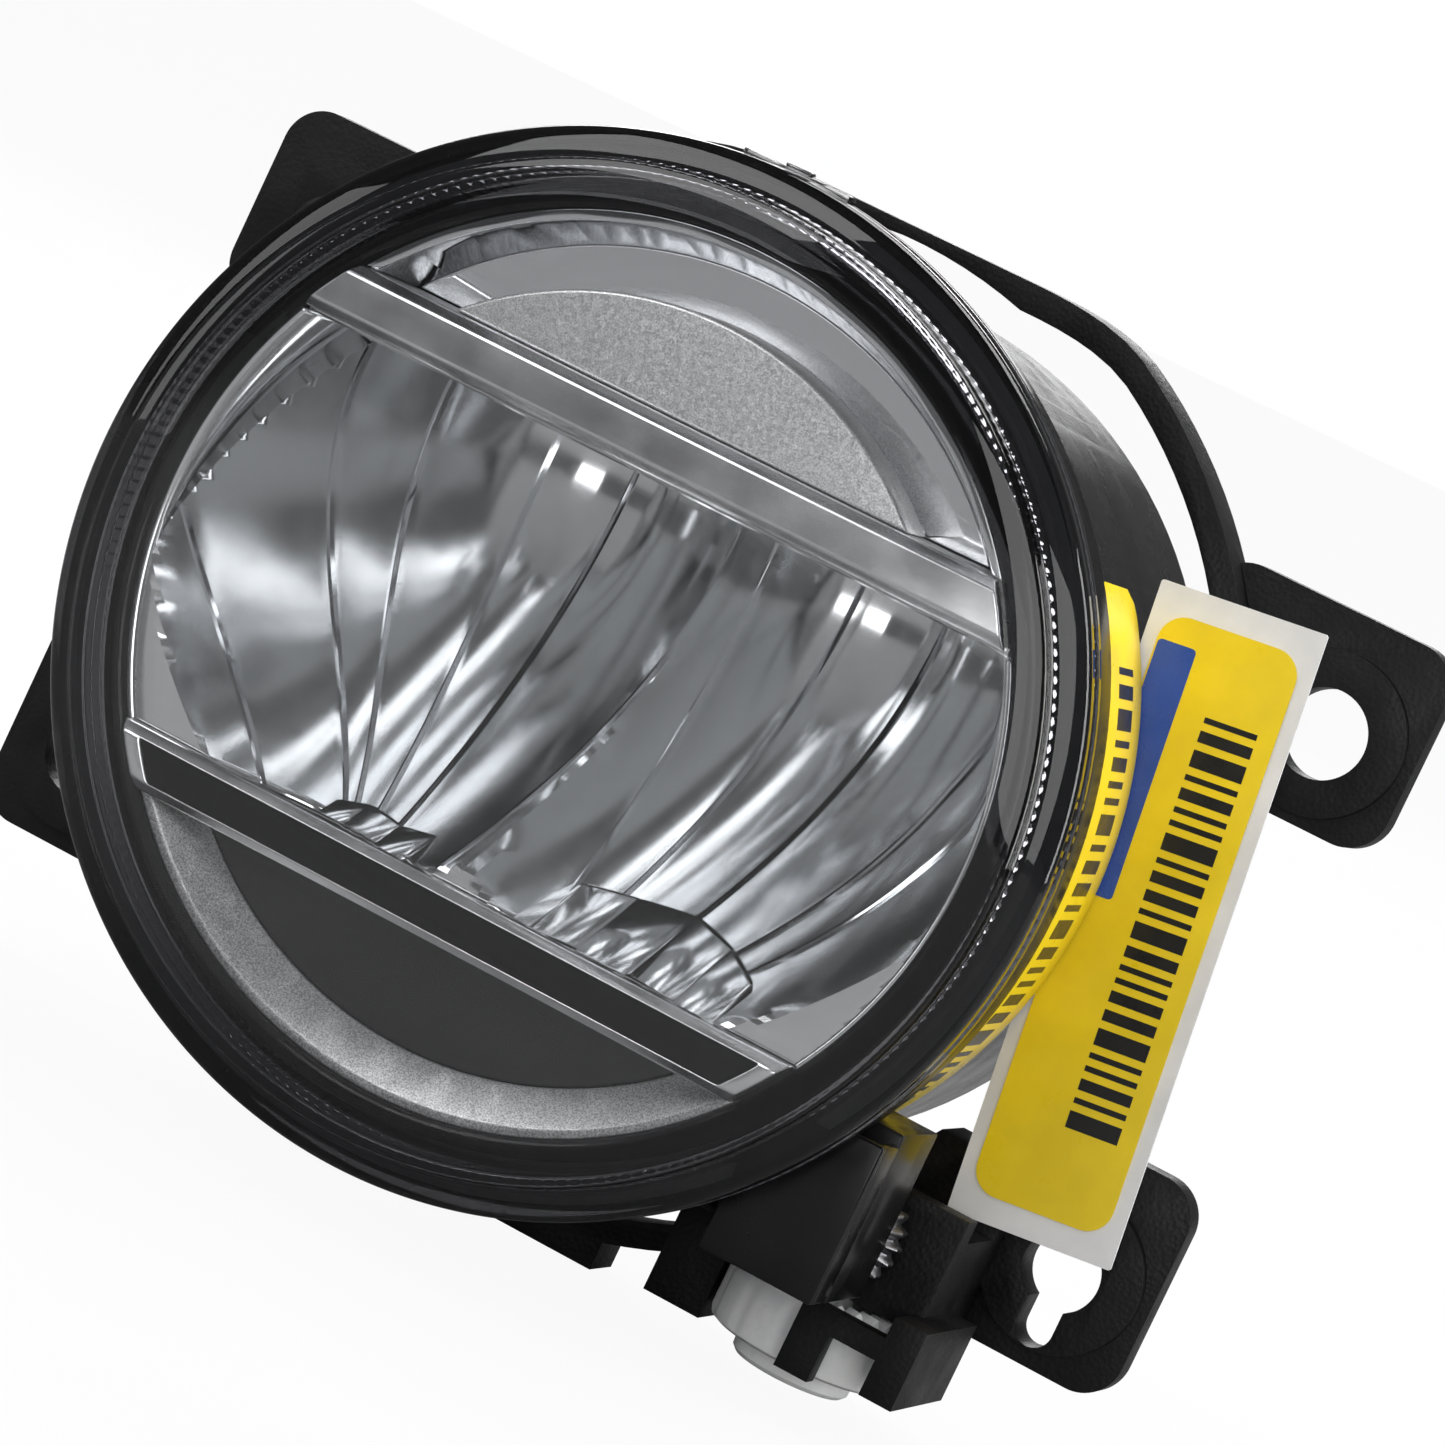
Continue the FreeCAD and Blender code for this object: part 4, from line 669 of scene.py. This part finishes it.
def reflector_bowls():
    """Two fluted bowls side by side."""
    bm = bmesh.new()
    grid = []
    for z in heights(BOWL_ROWS):
        lines = rib_lines(z)
        verts = []
        for left, right in zip(lines, lines[1:]):
            for k in range(FLUTE_COLUMNS):
                inside = max(-reach(z), min(reach(z), left + (right - left) * k / FLUTE_COLUMNS))
                y = bowl_depth(inside, z) + FLUTE_DEPTH * flute(inside, lines)
                verts.append(bm.verts.new((inside * MM, max(y, WALL_FRONT_Y + 0.2) * MM, z * MM)))
        grid.append(verts)
    for lower, upper in zip(grid, grid[1:]):
        for k in range(len(lower) - 1):
            bm.faces.new((lower[k], lower[k + 1], upper[k + 1], upper[k]))
    bmesh.ops.remove_doubles(bm, verts=bm.verts, dist=1e-6)
    bmesh.ops.dissolve_degenerate(bm, edges=bm.edges, dist=1e-7)
    bowls = piece("reflector_bowls", bm, "lamp", "mirror_coat", ("reflector",), REFLECTOR_COAT, 12.0)
    shell = bowls.modifiers.new("wall", "SOLIDIFY")
    shell.thickness = BOWL_WALL * MM
    shell.offset = 1.0 if bowls.data.polygons[0].normal.y > 0 else -1.0


def reflector_wall():
    """Round wall at both sides, and a flat ceiling under the upper bar."""
    bm = bmesh.new()
    for side in (-1, 1):
        span = []
        for z in heights(WALL_STEPS):
            x = side * reach(z)
            rear = max(bowl_depth(x, z) + 1.0, WALL_FRONT_Y + 1.5)
            span.append([bm.verts.new((x * MM, y * MM, z * MM)) for y in (WALL_FRONT_Y, rear)])
        for one, two in zip(span, span[1:]):
            bm.faces.new((one[0], one[1], two[1], two[0]))
    wall = piece("reflector_wall", bm, "lamp", "mirror_coat", (), REFLECTOR_COAT)
    shell = wall.modifiers.new("wall", "SOLIDIFY")
    shell.thickness = SIDE_WALL * MM
    shell.offset = 0.0
    shell.use_even_offset = False

    bm = bmesh.new()
    half = reach(BAR_UP_LOW_Z)
    block(bm, (-half, WALL_FRONT_Y + 0.1, BOWL_TOP_Z), (half, DEEP_Y + 0.4, BOWL_TOP_Z + 0.9))
    round_edges(bm, 0.15, 1)
    piece("reflector_ceiling", bm, "lamp", "mirror_coat", (), REFLECTOR_COAT)


def reflector_crests():
    """Thin crest along each rib, where there is room for it."""
    bm = bmesh.new()
    for rib in range(1, len(RIBS) - 1):
        previous = None
        for z in heights(BOWL_ROWS):
            x = rib_lines(z)[rib]
            y = bowl_depth(x, z)
            if abs(x) + CREST_HALF_W > reach(z) or y < WALL_FRONT_Y + 1.0:
                previous = None
                continue
            corners = ((x - CREST_HALF_W, y), (x, y - CREST_H), (x + CREST_HALF_W, y), (x, y + CREST_ROOT))
            ring = [bm.verts.new((px * MM, py * MM, z * MM)) for px, py in corners]
            if previous:
                prism(bm, ring, previous)
            previous = ring
    bmesh.ops.holes_fill(bm, edges=bm.edges, sides=4)
    piece("reflector_crests", bm, "lamp", "mirror_coat")


def reflector_facets():
    """Flat facets side by side at the feet of the ribs."""
    bm = bmesh.new()
    for left, right, left_top, right_top, proud, foot_proud in FACETS:
        corners = (
            (left, BOWL_LOW_Z, foot_proud), (right, BOWL_LOW_Z, foot_proud),
            (right, right_top, proud), (left, left_top, proud),
        )
        front, rear = [
            [
                bm.verts.new((x * MM, (max(bowl_depth(x, z) - out, WALL_FRONT_Y) + back) * MM, z * MM))
                for x, z, out in corners
            ]
            for back in (0.0, FACET_DEPTH)
        ]
        bm.faces.new(front)
        bm.faces.new(rear[::-1])
        prism(bm, front, rear)
    bmesh.ops.recalc_face_normals(bm, faces=bm.faces)
    round_edges(bm, 0.2, 2)
    piece("reflector_facets", bm, "lamp", "mirror_coat", (), REFLECTOR_COAT)


reflector_bowls()
reflector_wall()
reflector_crests()
reflector_facets()


# ------------------------------------------------------------------ trim, bars, bezel and inner parts


TRIM_COATS = {  # nodes whose coat differs from their slot's usual one
    "upper_bar": BAR_COAT,
    "lower_bar": BAR_COAT,
    "lower_bar_insert": gloss_black("insert_black", 0.06),
    "lower_crescent": satin_silver("crescent_satin", 0.26, 0.56),
}


def trim():
    """Bars, plates and bezel keep their CAD shape, with rounded edges."""
    for node, width in (
        ("upper_bar", 0.28), ("lower_bar", 0.22), ("lower_bar_insert", 0.12), ("upper_rim", 0.2),
        ("upper_plate", 0.35), ("lower_crescent", 0.2), ("lower_plate", 0.15), ("inner_bezel", 0.25),
    ):
        refined(node, "lamp", width, 3, TRIM_COATS.get(node))


LEDGE_THICK, LEDGE_SIDE_GAP = 0.7, 0.4


def upper_ledge():
    """Satin ledge that closes the gap between the upper bar and the plate behind it."""
    bm = bmesh.new()
    top_z = high("upper_bar").z
    half = reach(top_z) - LEDGE_SIDE_GAP
    block(bm, (-half, high("upper_bar").y - 0.1, top_z - LEDGE_THICK), (half, high("upper_plate").y, top_z))
    round_edges(bm, 0.15, 2)
    piece("upper_ledge", bm, "lamp", "satin_silver")


def inner_parts():
    """Light source, seals and fasteners inside."""
    for node, width in (
        ("led_board", 0.15), ("led_chips", 0.2), ("thermal_pad", 0.08), ("sink_seal", 0.25),
        ("lens_seal", 0.3), ("board_screws", 0.2), ("terminals", 0.15), ("leads", 0.1),
    ):
        refined(node, "lamp", width)


trim()
upper_ledge()
inner_parts()


# ------------------------------------------------------------------ housing and what is on its back


COVER_GAP, COVER_WALL, COVER_DROP = 1.9, 0.9, 1.0  # cup in front of the screw's tip
REAR_RIB_IN_R, REAR_RIB_OUT_R, REAR_RIB_HALF_W, REAR_RIB_H = 25.5, 34.0, 0.6, 1.6
REAR_RIB_STEP_DEG = 30
REAR_RIB_CLEAR = -0.35  # ribs stand only where the sine of their angle is below this, clear of the sink


def housing():
    """Drum, arm and socket with moulded edges, and ribs on the rear wall."""
    refined("housing", "lamp", 0.45, 3)
    refined("aim_arm", "lamp", 0.35, 3)
    refined("connector_shell", "lamp", 0.4, 3)

    arm_low, arm_high = low("aim_arm"), high("aim_arm")
    bm = bmesh.new()
    front_y, top_z = SCREW_LOW.y - COVER_GAP, arm_high.z - COVER_DROP
    block(bm, (arm_low.x, front_y - COVER_WALL, arm_low.z), (arm_high.x, front_y, top_z))
    for side_x in (arm_low.x, arm_high.x - COVER_WALL):
        block(bm, (side_x, front_y - 0.3, arm_low.z), (side_x + COVER_WALL, arm_low.y + 0.3, top_z))
    round_edges(bm, 0.3, 3)
    piece("nut_cover", bm, "lamp", "housing_plastic")

    bm = bmesh.new()
    for angle_deg in range(0, 360, REAR_RIB_STEP_DEG):
        angle = math.radians(angle_deg)
        if math.sin(angle) > REAR_RIB_CLEAR:
            continue
        near = (REAR_RIB_IN_R, HOUSING_REAR_Y - 0.2, -REAR_RIB_HALF_W)
        far = (REAR_RIB_OUT_R, HOUSING_REAR_Y + REAR_RIB_H, REAR_RIB_HALF_W)
        made = block(bm, near, far)
        bmesh.ops.rotate(bm, verts=made, cent=(0, 0, 0), matrix=Matrix.Rotation(-angle, 3, "Y"))
    round_edges(bm, 0.3, 2)
    piece("rear_ribs", bm, "lamp", "housing_plastic")


def heat_sink():
    """Finned plate at the back and its four screws."""
    refined("heat_sink", "lamp", 0.3, 2)
    refined("sink_screws", "lamp", 0.3, 3)


GRIP_DEPTH, GRIP_RIBS = 0.1, 20


def vent_cap():
    """Rubber breather cap with grip ribs."""
    front, rear = CAP_LOW.y, CAP_HIGH.y
    radius = (CAP_HIGH.x - CAP_LOW.x) / 2
    centre = ((CAP_LOW.x + CAP_HIGH.x) / 2, 0.0, (CAP_LOW.z + CAP_HIGH.z) / 2)
    profile = [
        (0.0, front), (radius - 0.9, front), (radius - 0.3, front + 0.3), (radius - 0.1, front + 1.0),
        (radius - 0.1, rear - 1.2), (radius - 0.7, rear - 0.3), (radius - 1.6, rear), (1.2, rear),
        (0.9, rear - 0.5), (0.0, rear - 0.5),
    ]

    def grip(index, angle):
        return GRIP_DEPTH * math.cos(angle * GRIP_RIBS) if index in (3, 4) else 0.0

    bm = bmesh.new()
    lathe(bm, profile, 8 * GRIP_RIBS, grip, centre)
    piece("breather", bm, "lamp", "vent_rubber", ("vent_cap",), sharp_deg=40.0)


housing()
heat_sink()
vent_cap()


# ------------------------------------------------------------------ bracket and adjuster


RING_OUT_R, RING_IN_R = 48.9, 46.5
FLAT_OUT_Z, FLAT_IN_Z = high("bracket").z, high("bracket").z - 2.6
BLEND = 2.4  # how softly the ring's flat top runs into its round sides
SLICES_EACH_SIDE, SLICE_GAP, SLICED_ABOVE_Z = 16, 1.9, 28.0
BLEND_ABOVE_Z, BLEND_HALF_X = 36.0, 30.5


def soft_least(one, two, blend):
    """The smaller of two values, with a smooth change-over."""
    share = max(0.0, min(1.0, 0.5 + 0.5 * (two - one) / blend))
    return two * (1 - share) + one * share - blend * share * (1 - share)


def soften_ring_top(bm):
    """Turn the corners between the ring's flat top and its round sides into smooth curves."""
    for step in range(-SLICES_EACH_SIDE, SLICES_EACH_SIDE + 1):
        cut_x = step * SLICE_GAP * MM
        top = [f for f in bm.faces if f.calc_center_median().z > SLICED_ABOVE_Z * MM]
        around = {e for f in top for e in f.edges} | {v for f in top for v in f.verts}
        bmesh.ops.bisect_plane(
            bm, geom=top + list(around), dist=1e-7, plane_co=(cut_x, 0.0, 0.0), plane_no=(1.0, 0.0, 0.0)
        )
    for vert in bm.verts:
        x, z = vert.co.x / MM, vert.co.z / MM
        if z < BLEND_ABOVE_Z or abs(x) > BLEND_HALF_X:
            continue
        radius = math.hypot(x, z)
        lift = radius / z
        old_out, old_in = min(RING_OUT_R, FLAT_OUT_Z * lift), min(RING_IN_R, FLAT_IN_Z * lift)
        new_out = soft_least(RING_OUT_R, FLAT_OUT_Z * lift, BLEND)
        new_in = soft_least(RING_IN_R, FLAT_IN_Z * lift, BLEND)
        share = (radius - old_in) / (old_out - old_in)
        scale = (new_in + (new_out - new_in) * share) / radius
        vert.co.x *= scale
        vert.co.z *= scale


EARS = ("upper_left_ear", "upper_right_ear", "lower_left_ear", "lower_right_ear")


def bracket():
    """Ring and ears as the one moulding that they are, then the cage and the pins."""
    whole = bpy.data.objects.new("bracket_whole", nodes["bracket"].data.copy())
    bpy.context.scene.collection.objects.link(whole)
    for ear in EARS:
        join = whole.modifiers.new("join_" + ear, "BOOLEAN")
        join.operation = "UNION"
        join.solver = "EXACT"
        join.object = nodes[ear]
    evaluated = whole.evaluated_get(bpy.context.evaluated_depsgraph_get())
    bm = bmesh.new()
    bm.from_mesh(evaluated.to_mesh())
    bpy.data.objects.remove(whole)
    bmesh.ops.remove_doubles(bm, verts=bm.verts, dist=2 * CAD_MERGE_DIST)
    bmesh.ops.dissolve_limit(bm, angle_limit=math.radians(FLAT_WITHIN_DEG), verts=bm.verts, edges=bm.edges)
    round_edges(bm, 0.5, 3)
    soften_ring_top(bm)
    piece("bracket_moulding", bm, "bracket_body", SLOTS["bracket"], ("bracket", *EARS))
    refined("adjuster_cage", "bracket_body", 0.45, 3)
    refined("pivot_pins", "bracket_body", 0.35, 3)


WHEEL_TEETH, GEAR_TEETH = 28, 24  # in the ratio of the wheel_turn and screw_turn couplings
STEPS_PER_TOOTH = 8
WHEEL_TOOTH_H, WHEEL_DIMPLE, WHEEL_DIMPLES = 1.0, 0.22, 12


def adjuster_wheel():
    """Nylon wheel with bevel teeth on top, a dimpled rim and a hexagon recess below."""
    top_z, foot_z = WHEEL_HIGH.z, WHEEL_LOW.z
    rim_r = (WHEEL_HIGH.x - WHEEL_LOW.x) / 2
    disc_low, disc_top, crown_top = foot_z + 1.9, foot_z + 7.3, foot_z + 8.6
    profile = [
        (0.0, foot_z + 3.6), (2.5, foot_z + 3.6), (2.5, foot_z + 0.2), (2.7, foot_z), (5.0, foot_z),
        (5.4, foot_z + 0.4), (5.5, disc_low - 0.1), (rim_r - 0.8, disc_low), (rim_r - 0.2, disc_low + 0.3),
        (rim_r, disc_low + 0.9), (rim_r, disc_top - 0.9), (rim_r - 0.3, disc_top - 0.25),
        (rim_r - 0.5, disc_top),
        (8.0, crown_top), (5.6, crown_top - 0.2), (5.4, disc_top + 0.1), (2.6, disc_top),
        (2.5, disc_top + 0.2), (2.5, top_z - 0.2), (2.3, top_z), (0.0, top_z),
    ]
    bm = bmesh.new()
    rows = []
    steps = WHEEL_TEETH * STEPS_PER_TOOTH
    for step in range(steps):
        angle = 2 * math.pi * step / steps
        tooth = 0.5 + 0.5 * math.cos(angle * WHEEL_TEETH)
        row = []
        for index, (radius, along) in enumerate(profile):
            if index in (1, 2):
                wedge = (angle + math.pi / 6) % (math.pi / 3) - math.pi / 6
                radius = radius / math.cos(wedge)
            if index in (9, 10):
                radius -= WHEEL_DIMPLE * max(0.0, math.cos(angle * WHEEL_DIMPLES)) ** 2
            if index in (13, 14):
                along -= WHEEL_TOOTH_H * (1 - tooth)
            x, y = WHEEL_X + radius * math.cos(angle), WHEEL_Y + radius * math.sin(angle)
            row.append(bm.verts.new((x * MM, y * MM, along * MM)))
        rows.append(row)
    for step in range(steps):
        one, two = rows[step], rows[(step + 1) % steps]
        for index in range(len(profile) - 1):
            bm.faces.new((one[index], two[index], two[index + 1], one[index + 1]))
    merge_poles(bm)
    piece("wheel_moulding", bm, "wheel", "white_nylon", ("adjuster_wheel",), sharp_deg=38.0)


GEAR_FRONT_Y, GEAR_REAR_Y, GEAR_R, COG_DEPTH = -22.2, -19.5, 5.75, 0.7
PITCH, CREST_R, ROOT_R = 2.0, 2.45, 1.85
THREAD_STEPS, THREAD_ROWS_PER_TURN = 48, 8
THREAD_FLANK = 3.2  # how steeply a thread rises, in shares of its height per share of the pitch
THREAD_LEAD, THREAD_FADE = 0.6, 1.5  # plain tip, and the length over which the thread runs out


def aim_screw():
    """Threaded screw with its bevel gear."""
    y0, y1 = SCREW_LOW.y, SCREW_HIGH.y
    bm = bmesh.new()
    length = GEAR_FRONT_Y - (y0 + THREAD_LEAD)
    rings = int(length / PITCH * THREAD_ROWS_PER_TURN)
    previous = None
    for ring in range(rings + 1):
        y = y0 + THREAD_LEAD + length * ring / rings
        row = []
        for step in range(THREAD_STEPS):
            angle = 2 * math.pi * step / THREAD_STEPS
            phase = ((y - y0) / PITCH - step / THREAD_STEPS) % 1.0
            crest = max(0.0, 1.0 - abs(phase - 0.5) * THREAD_FLANK)
            fade = min(1.0, (GEAR_FRONT_Y - y) / THREAD_FADE, (y - y0) / THREAD_FADE)
            radius = ROOT_R + (CREST_R - ROOT_R) * crest * max(0.0, fade)
            x, z = SCREW_X + radius * math.cos(angle), SCREW_Z + radius * math.sin(angle)
            row.append(bm.verts.new((x * MM, y * MM, z * MM)))
        if previous:
            for step in range(THREAD_STEPS):
                after = (step + 1) % THREAD_STEPS
                bm.faces.new((previous[step], previous[after], row[after], row[step]))
        else:
            bm.faces.new(row)
        previous = row
    bm.faces.new(previous[::-1])
    gear = [
        (0.0, GEAR_FRONT_Y), (4.9, GEAR_FRONT_Y), (GEAR_R, GEAR_FRONT_Y + 0.9), (GEAR_R, GEAR_REAR_Y - 0.2),
        (5.5, GEAR_REAR_Y), (CREST_R, GEAR_REAR_Y), (CREST_R, y1 - 0.3), (2.15, y1), (0.0, y1),
    ]

    def cogs(index, angle):
        return -COG_DEPTH * (0.5 - 0.5 * math.cos(angle * GEAR_TEETH)) if index in (1, 2, 3, 4) else 0.0

    lathe(bm, gear, STEPS_PER_TOOTH * GEAR_TEETH, cogs, (SCREW_X, 0.0, SCREW_Z))
    piece("screw_thread", bm, "screw", "steel", ("aim_screw",), DARKER_STEEL, 30.0)


bracket()
adjuster_wheel()
aim_screw()
refined("aim_nut", "nut", 0.3, 3)


# ------------------------------------------------------------------ label


FILM_SLOT = "label_yellow"
TAG_LEAN_DEG, TAG_THICK, TAG_BEHIND = -7.0, 0.22, 0.25
TAG_HALF_W, TAG_HALF_L, TAG_CORNER = 6.3, 26.0, 2.4
CARD_HALF_W, CARD_HALF_L, CARD_CORNER, CARD_THICK, CARD_SHIFT = 7.6, 28.4, 0.25, 0.3, -0.24
PRINT_THICK, PRINT_LIFT = 0.04, 0.03
BLUE_HALF_W, BLUE_HALF_L, BLUE_CORNER, BLUE_MIDDLE = 1.75, 11.2, 0.4, (-4.4, 12.4)
STRIPES = (3, 1, 2, 1, 1, 3, 2, 2, 1, 1, 2, 3, 1, 2, 2, 1, 3, 1, 1, 2, 1, 3, 2, 1)  # mean nothing
STRIPE_GAP = 1.35  # in units of the narrowest stripe
TAG_STRIPES_Z, TAG_STRIPES_L, TAG_STRIPES_X, TAG_STRIPES_HALF_W = -18.2, 37.4, 2.3, 2.4
DRUM_R_FRONT, DRUM_R_REAR = 41.81, 41.18  # drum under the film, at both ends of the CAD film
DRUM_FILM_Y, DRUM_FILM_SPAN = -31.0, 17.8
FILM_FRONT_Y, FILM_REAR_Y, FILM_LOW_DEG, FILM_TOP_DEG = -27.0, -13.4, -39.0, 37.5
FILM_LIFT, FILM_THICK, FILM_CORNER, FILM_STEPS = 0.03, 0.2, 2.2, 48
WRAP_STRIPES_Y, WRAP_STRIPES_DEG, WRAP_STRIPES_SPAN_DEG = (-22.6, -17.0), -33.0, 62.0
WRAP_PRINT_LIFT, WRAP_PRINT_CORNER, WRAP_PRINT_STEPS = 0.22, 0.02, 3


def tag_place(lift_mm=0.0):
    """Placement of the hanging half: centre of the sheet, leaning to the right."""
    lo, hi = low("label_backing"), high("label_backing")
    centre = Vector(((lo.x + hi.x) / 2, lo.y - TAG_BEHIND - lift_mm, (lo.z + hi.z) / 2)) * MM
    return Matrix.Translation(centre) @ Matrix.Rotation(math.radians(TAG_LEAN_DEG), 4, "Y")


def stripe_spans(start, length):
    """Stripes of uneven width along a length."""
    unit = length / (sum(STRIPES) + STRIPE_GAP * len(STRIPES))
    spans = []
    at = start
    for width in STRIPES:
        spans.append((at, at + width * unit))
        at += (width + STRIPE_GAP) * unit
    return spans


def hanging_label():
    """Right half of the label on its white backing card, with plain printed blocks."""
    bm = bmesh.new()
    slab(bm, rounded(TAG_HALF_W, TAG_HALF_L, TAG_CORNER), TAG_THICK, tag_place())
    piece("label_right", bm, "lamp", FILM_SLOT, ("label",))

    bm = bmesh.new()
    slab(bm, rounded(CARD_HALF_W, CARD_HALF_L, CARD_CORNER, 3), CARD_THICK, tag_place(CARD_SHIFT))
    piece("label_card", bm, "lamp", "backing_white", ("label_backing",))

    bm = bmesh.new()
    blue = rounded(BLUE_HALF_W, BLUE_HALF_L, BLUE_CORNER, 4, BLUE_MIDDLE)
    slab(bm, blue, PRINT_THICK, tag_place(PRINT_LIFT))
    piece("label_blue_block", bm, "lamp", FILM_SLOT, (), PRINT_BLUE)

    bm = bmesh.new()
    for z0, z1 in stripe_spans(TAG_STRIPES_Z, TAG_STRIPES_L):
        stripe = rounded(TAG_STRIPES_HALF_W, (z1 - z0) / 2, 0.02, 1, (TAG_STRIPES_X, (z0 + z1) / 2))
        slab(bm, stripe, PRINT_THICK, tag_place(PRINT_LIFT))
    piece("label_stripes", bm, "lamp", FILM_SLOT, (), PRINT_BLACK)


def drum_point(y, angle, lift):
    """Point on the drum at this y and angle above +X, lifted off the surface."""
    share = (y - DRUM_FILM_Y) / DRUM_FILM_SPAN
    radius = DRUM_R_FRONT + (DRUM_R_REAR - DRUM_R_FRONT) * share + lift
    return Vector((radius * math.cos(angle), y, radius * math.sin(angle))) * MM


def wrapped(bm, y0, y1, a0, a1, lift, thick, steps, corner):
    """Sheet wrapped round the drum between two angles, with rounded corners."""
    bottom, top = [], []
    for step in range(steps + 1):
        angle = a0 + (a1 - a0) * step / steps
        along = min(angle - a0, a1 - angle) * DRUM_R_FRONT
        trim_y = 0.0
        if along < corner:
            trim_y = corner - math.sqrt(max(0.0, corner ** 2 - (corner - along) ** 2))
        edge = (y0 + trim_y, y1 - trim_y)
        bottom.append([bm.verts.new(drum_point(y, angle, lift)) for y in edge])
        top.append([bm.verts.new(drum_point(y, angle, lift + thick)) for y in edge])
    for step in range(steps):
        b0, b1, t0, t1 = bottom[step], bottom[step + 1], top[step], top[step + 1]
        bm.faces.new((t0[0], t0[1], t1[1], t1[0]))
        bm.faces.new((b0[1], b0[0], b1[0], b1[1]))
        bm.faces.new((b0[0], t0[0], t1[0], b1[0]))
        bm.faces.new((t0[1], b0[1], b1[1], t1[1]))
    bm.faces.new((bottom[0][0], bottom[0][1], top[0][1], top[0][0]))
    bm.faces.new((bottom[-1][1], bottom[-1][0], top[-1][0], top[-1][1]))


def wrapped_label():
    """Left half of the label, stuck round the side of the drum."""
    bm = bmesh.new()
    ends = (math.radians(FILM_LOW_DEG), math.radians(FILM_TOP_DEG))
    wrapped(bm, FILM_FRONT_Y, FILM_REAR_Y, *ends, FILM_LIFT, FILM_THICK, FILM_STEPS, FILM_CORNER)
    piece("label_left", bm, "lamp", FILM_SLOT)
    bm = bmesh.new()
    for span in stripe_spans(WRAP_STRIPES_DEG, WRAP_STRIPES_SPAN_DEG):
        ends = [math.radians(a) for a in span]
        wrapped(
            bm, *WRAP_STRIPES_Y, *ends, WRAP_PRINT_LIFT, PRINT_THICK, WRAP_PRINT_STEPS, WRAP_PRINT_CORNER
        )
    piece("label_stripes_left", bm, "lamp", FILM_SLOT, (), PRINT_BLACK)


hanging_label()
wrapped_label()
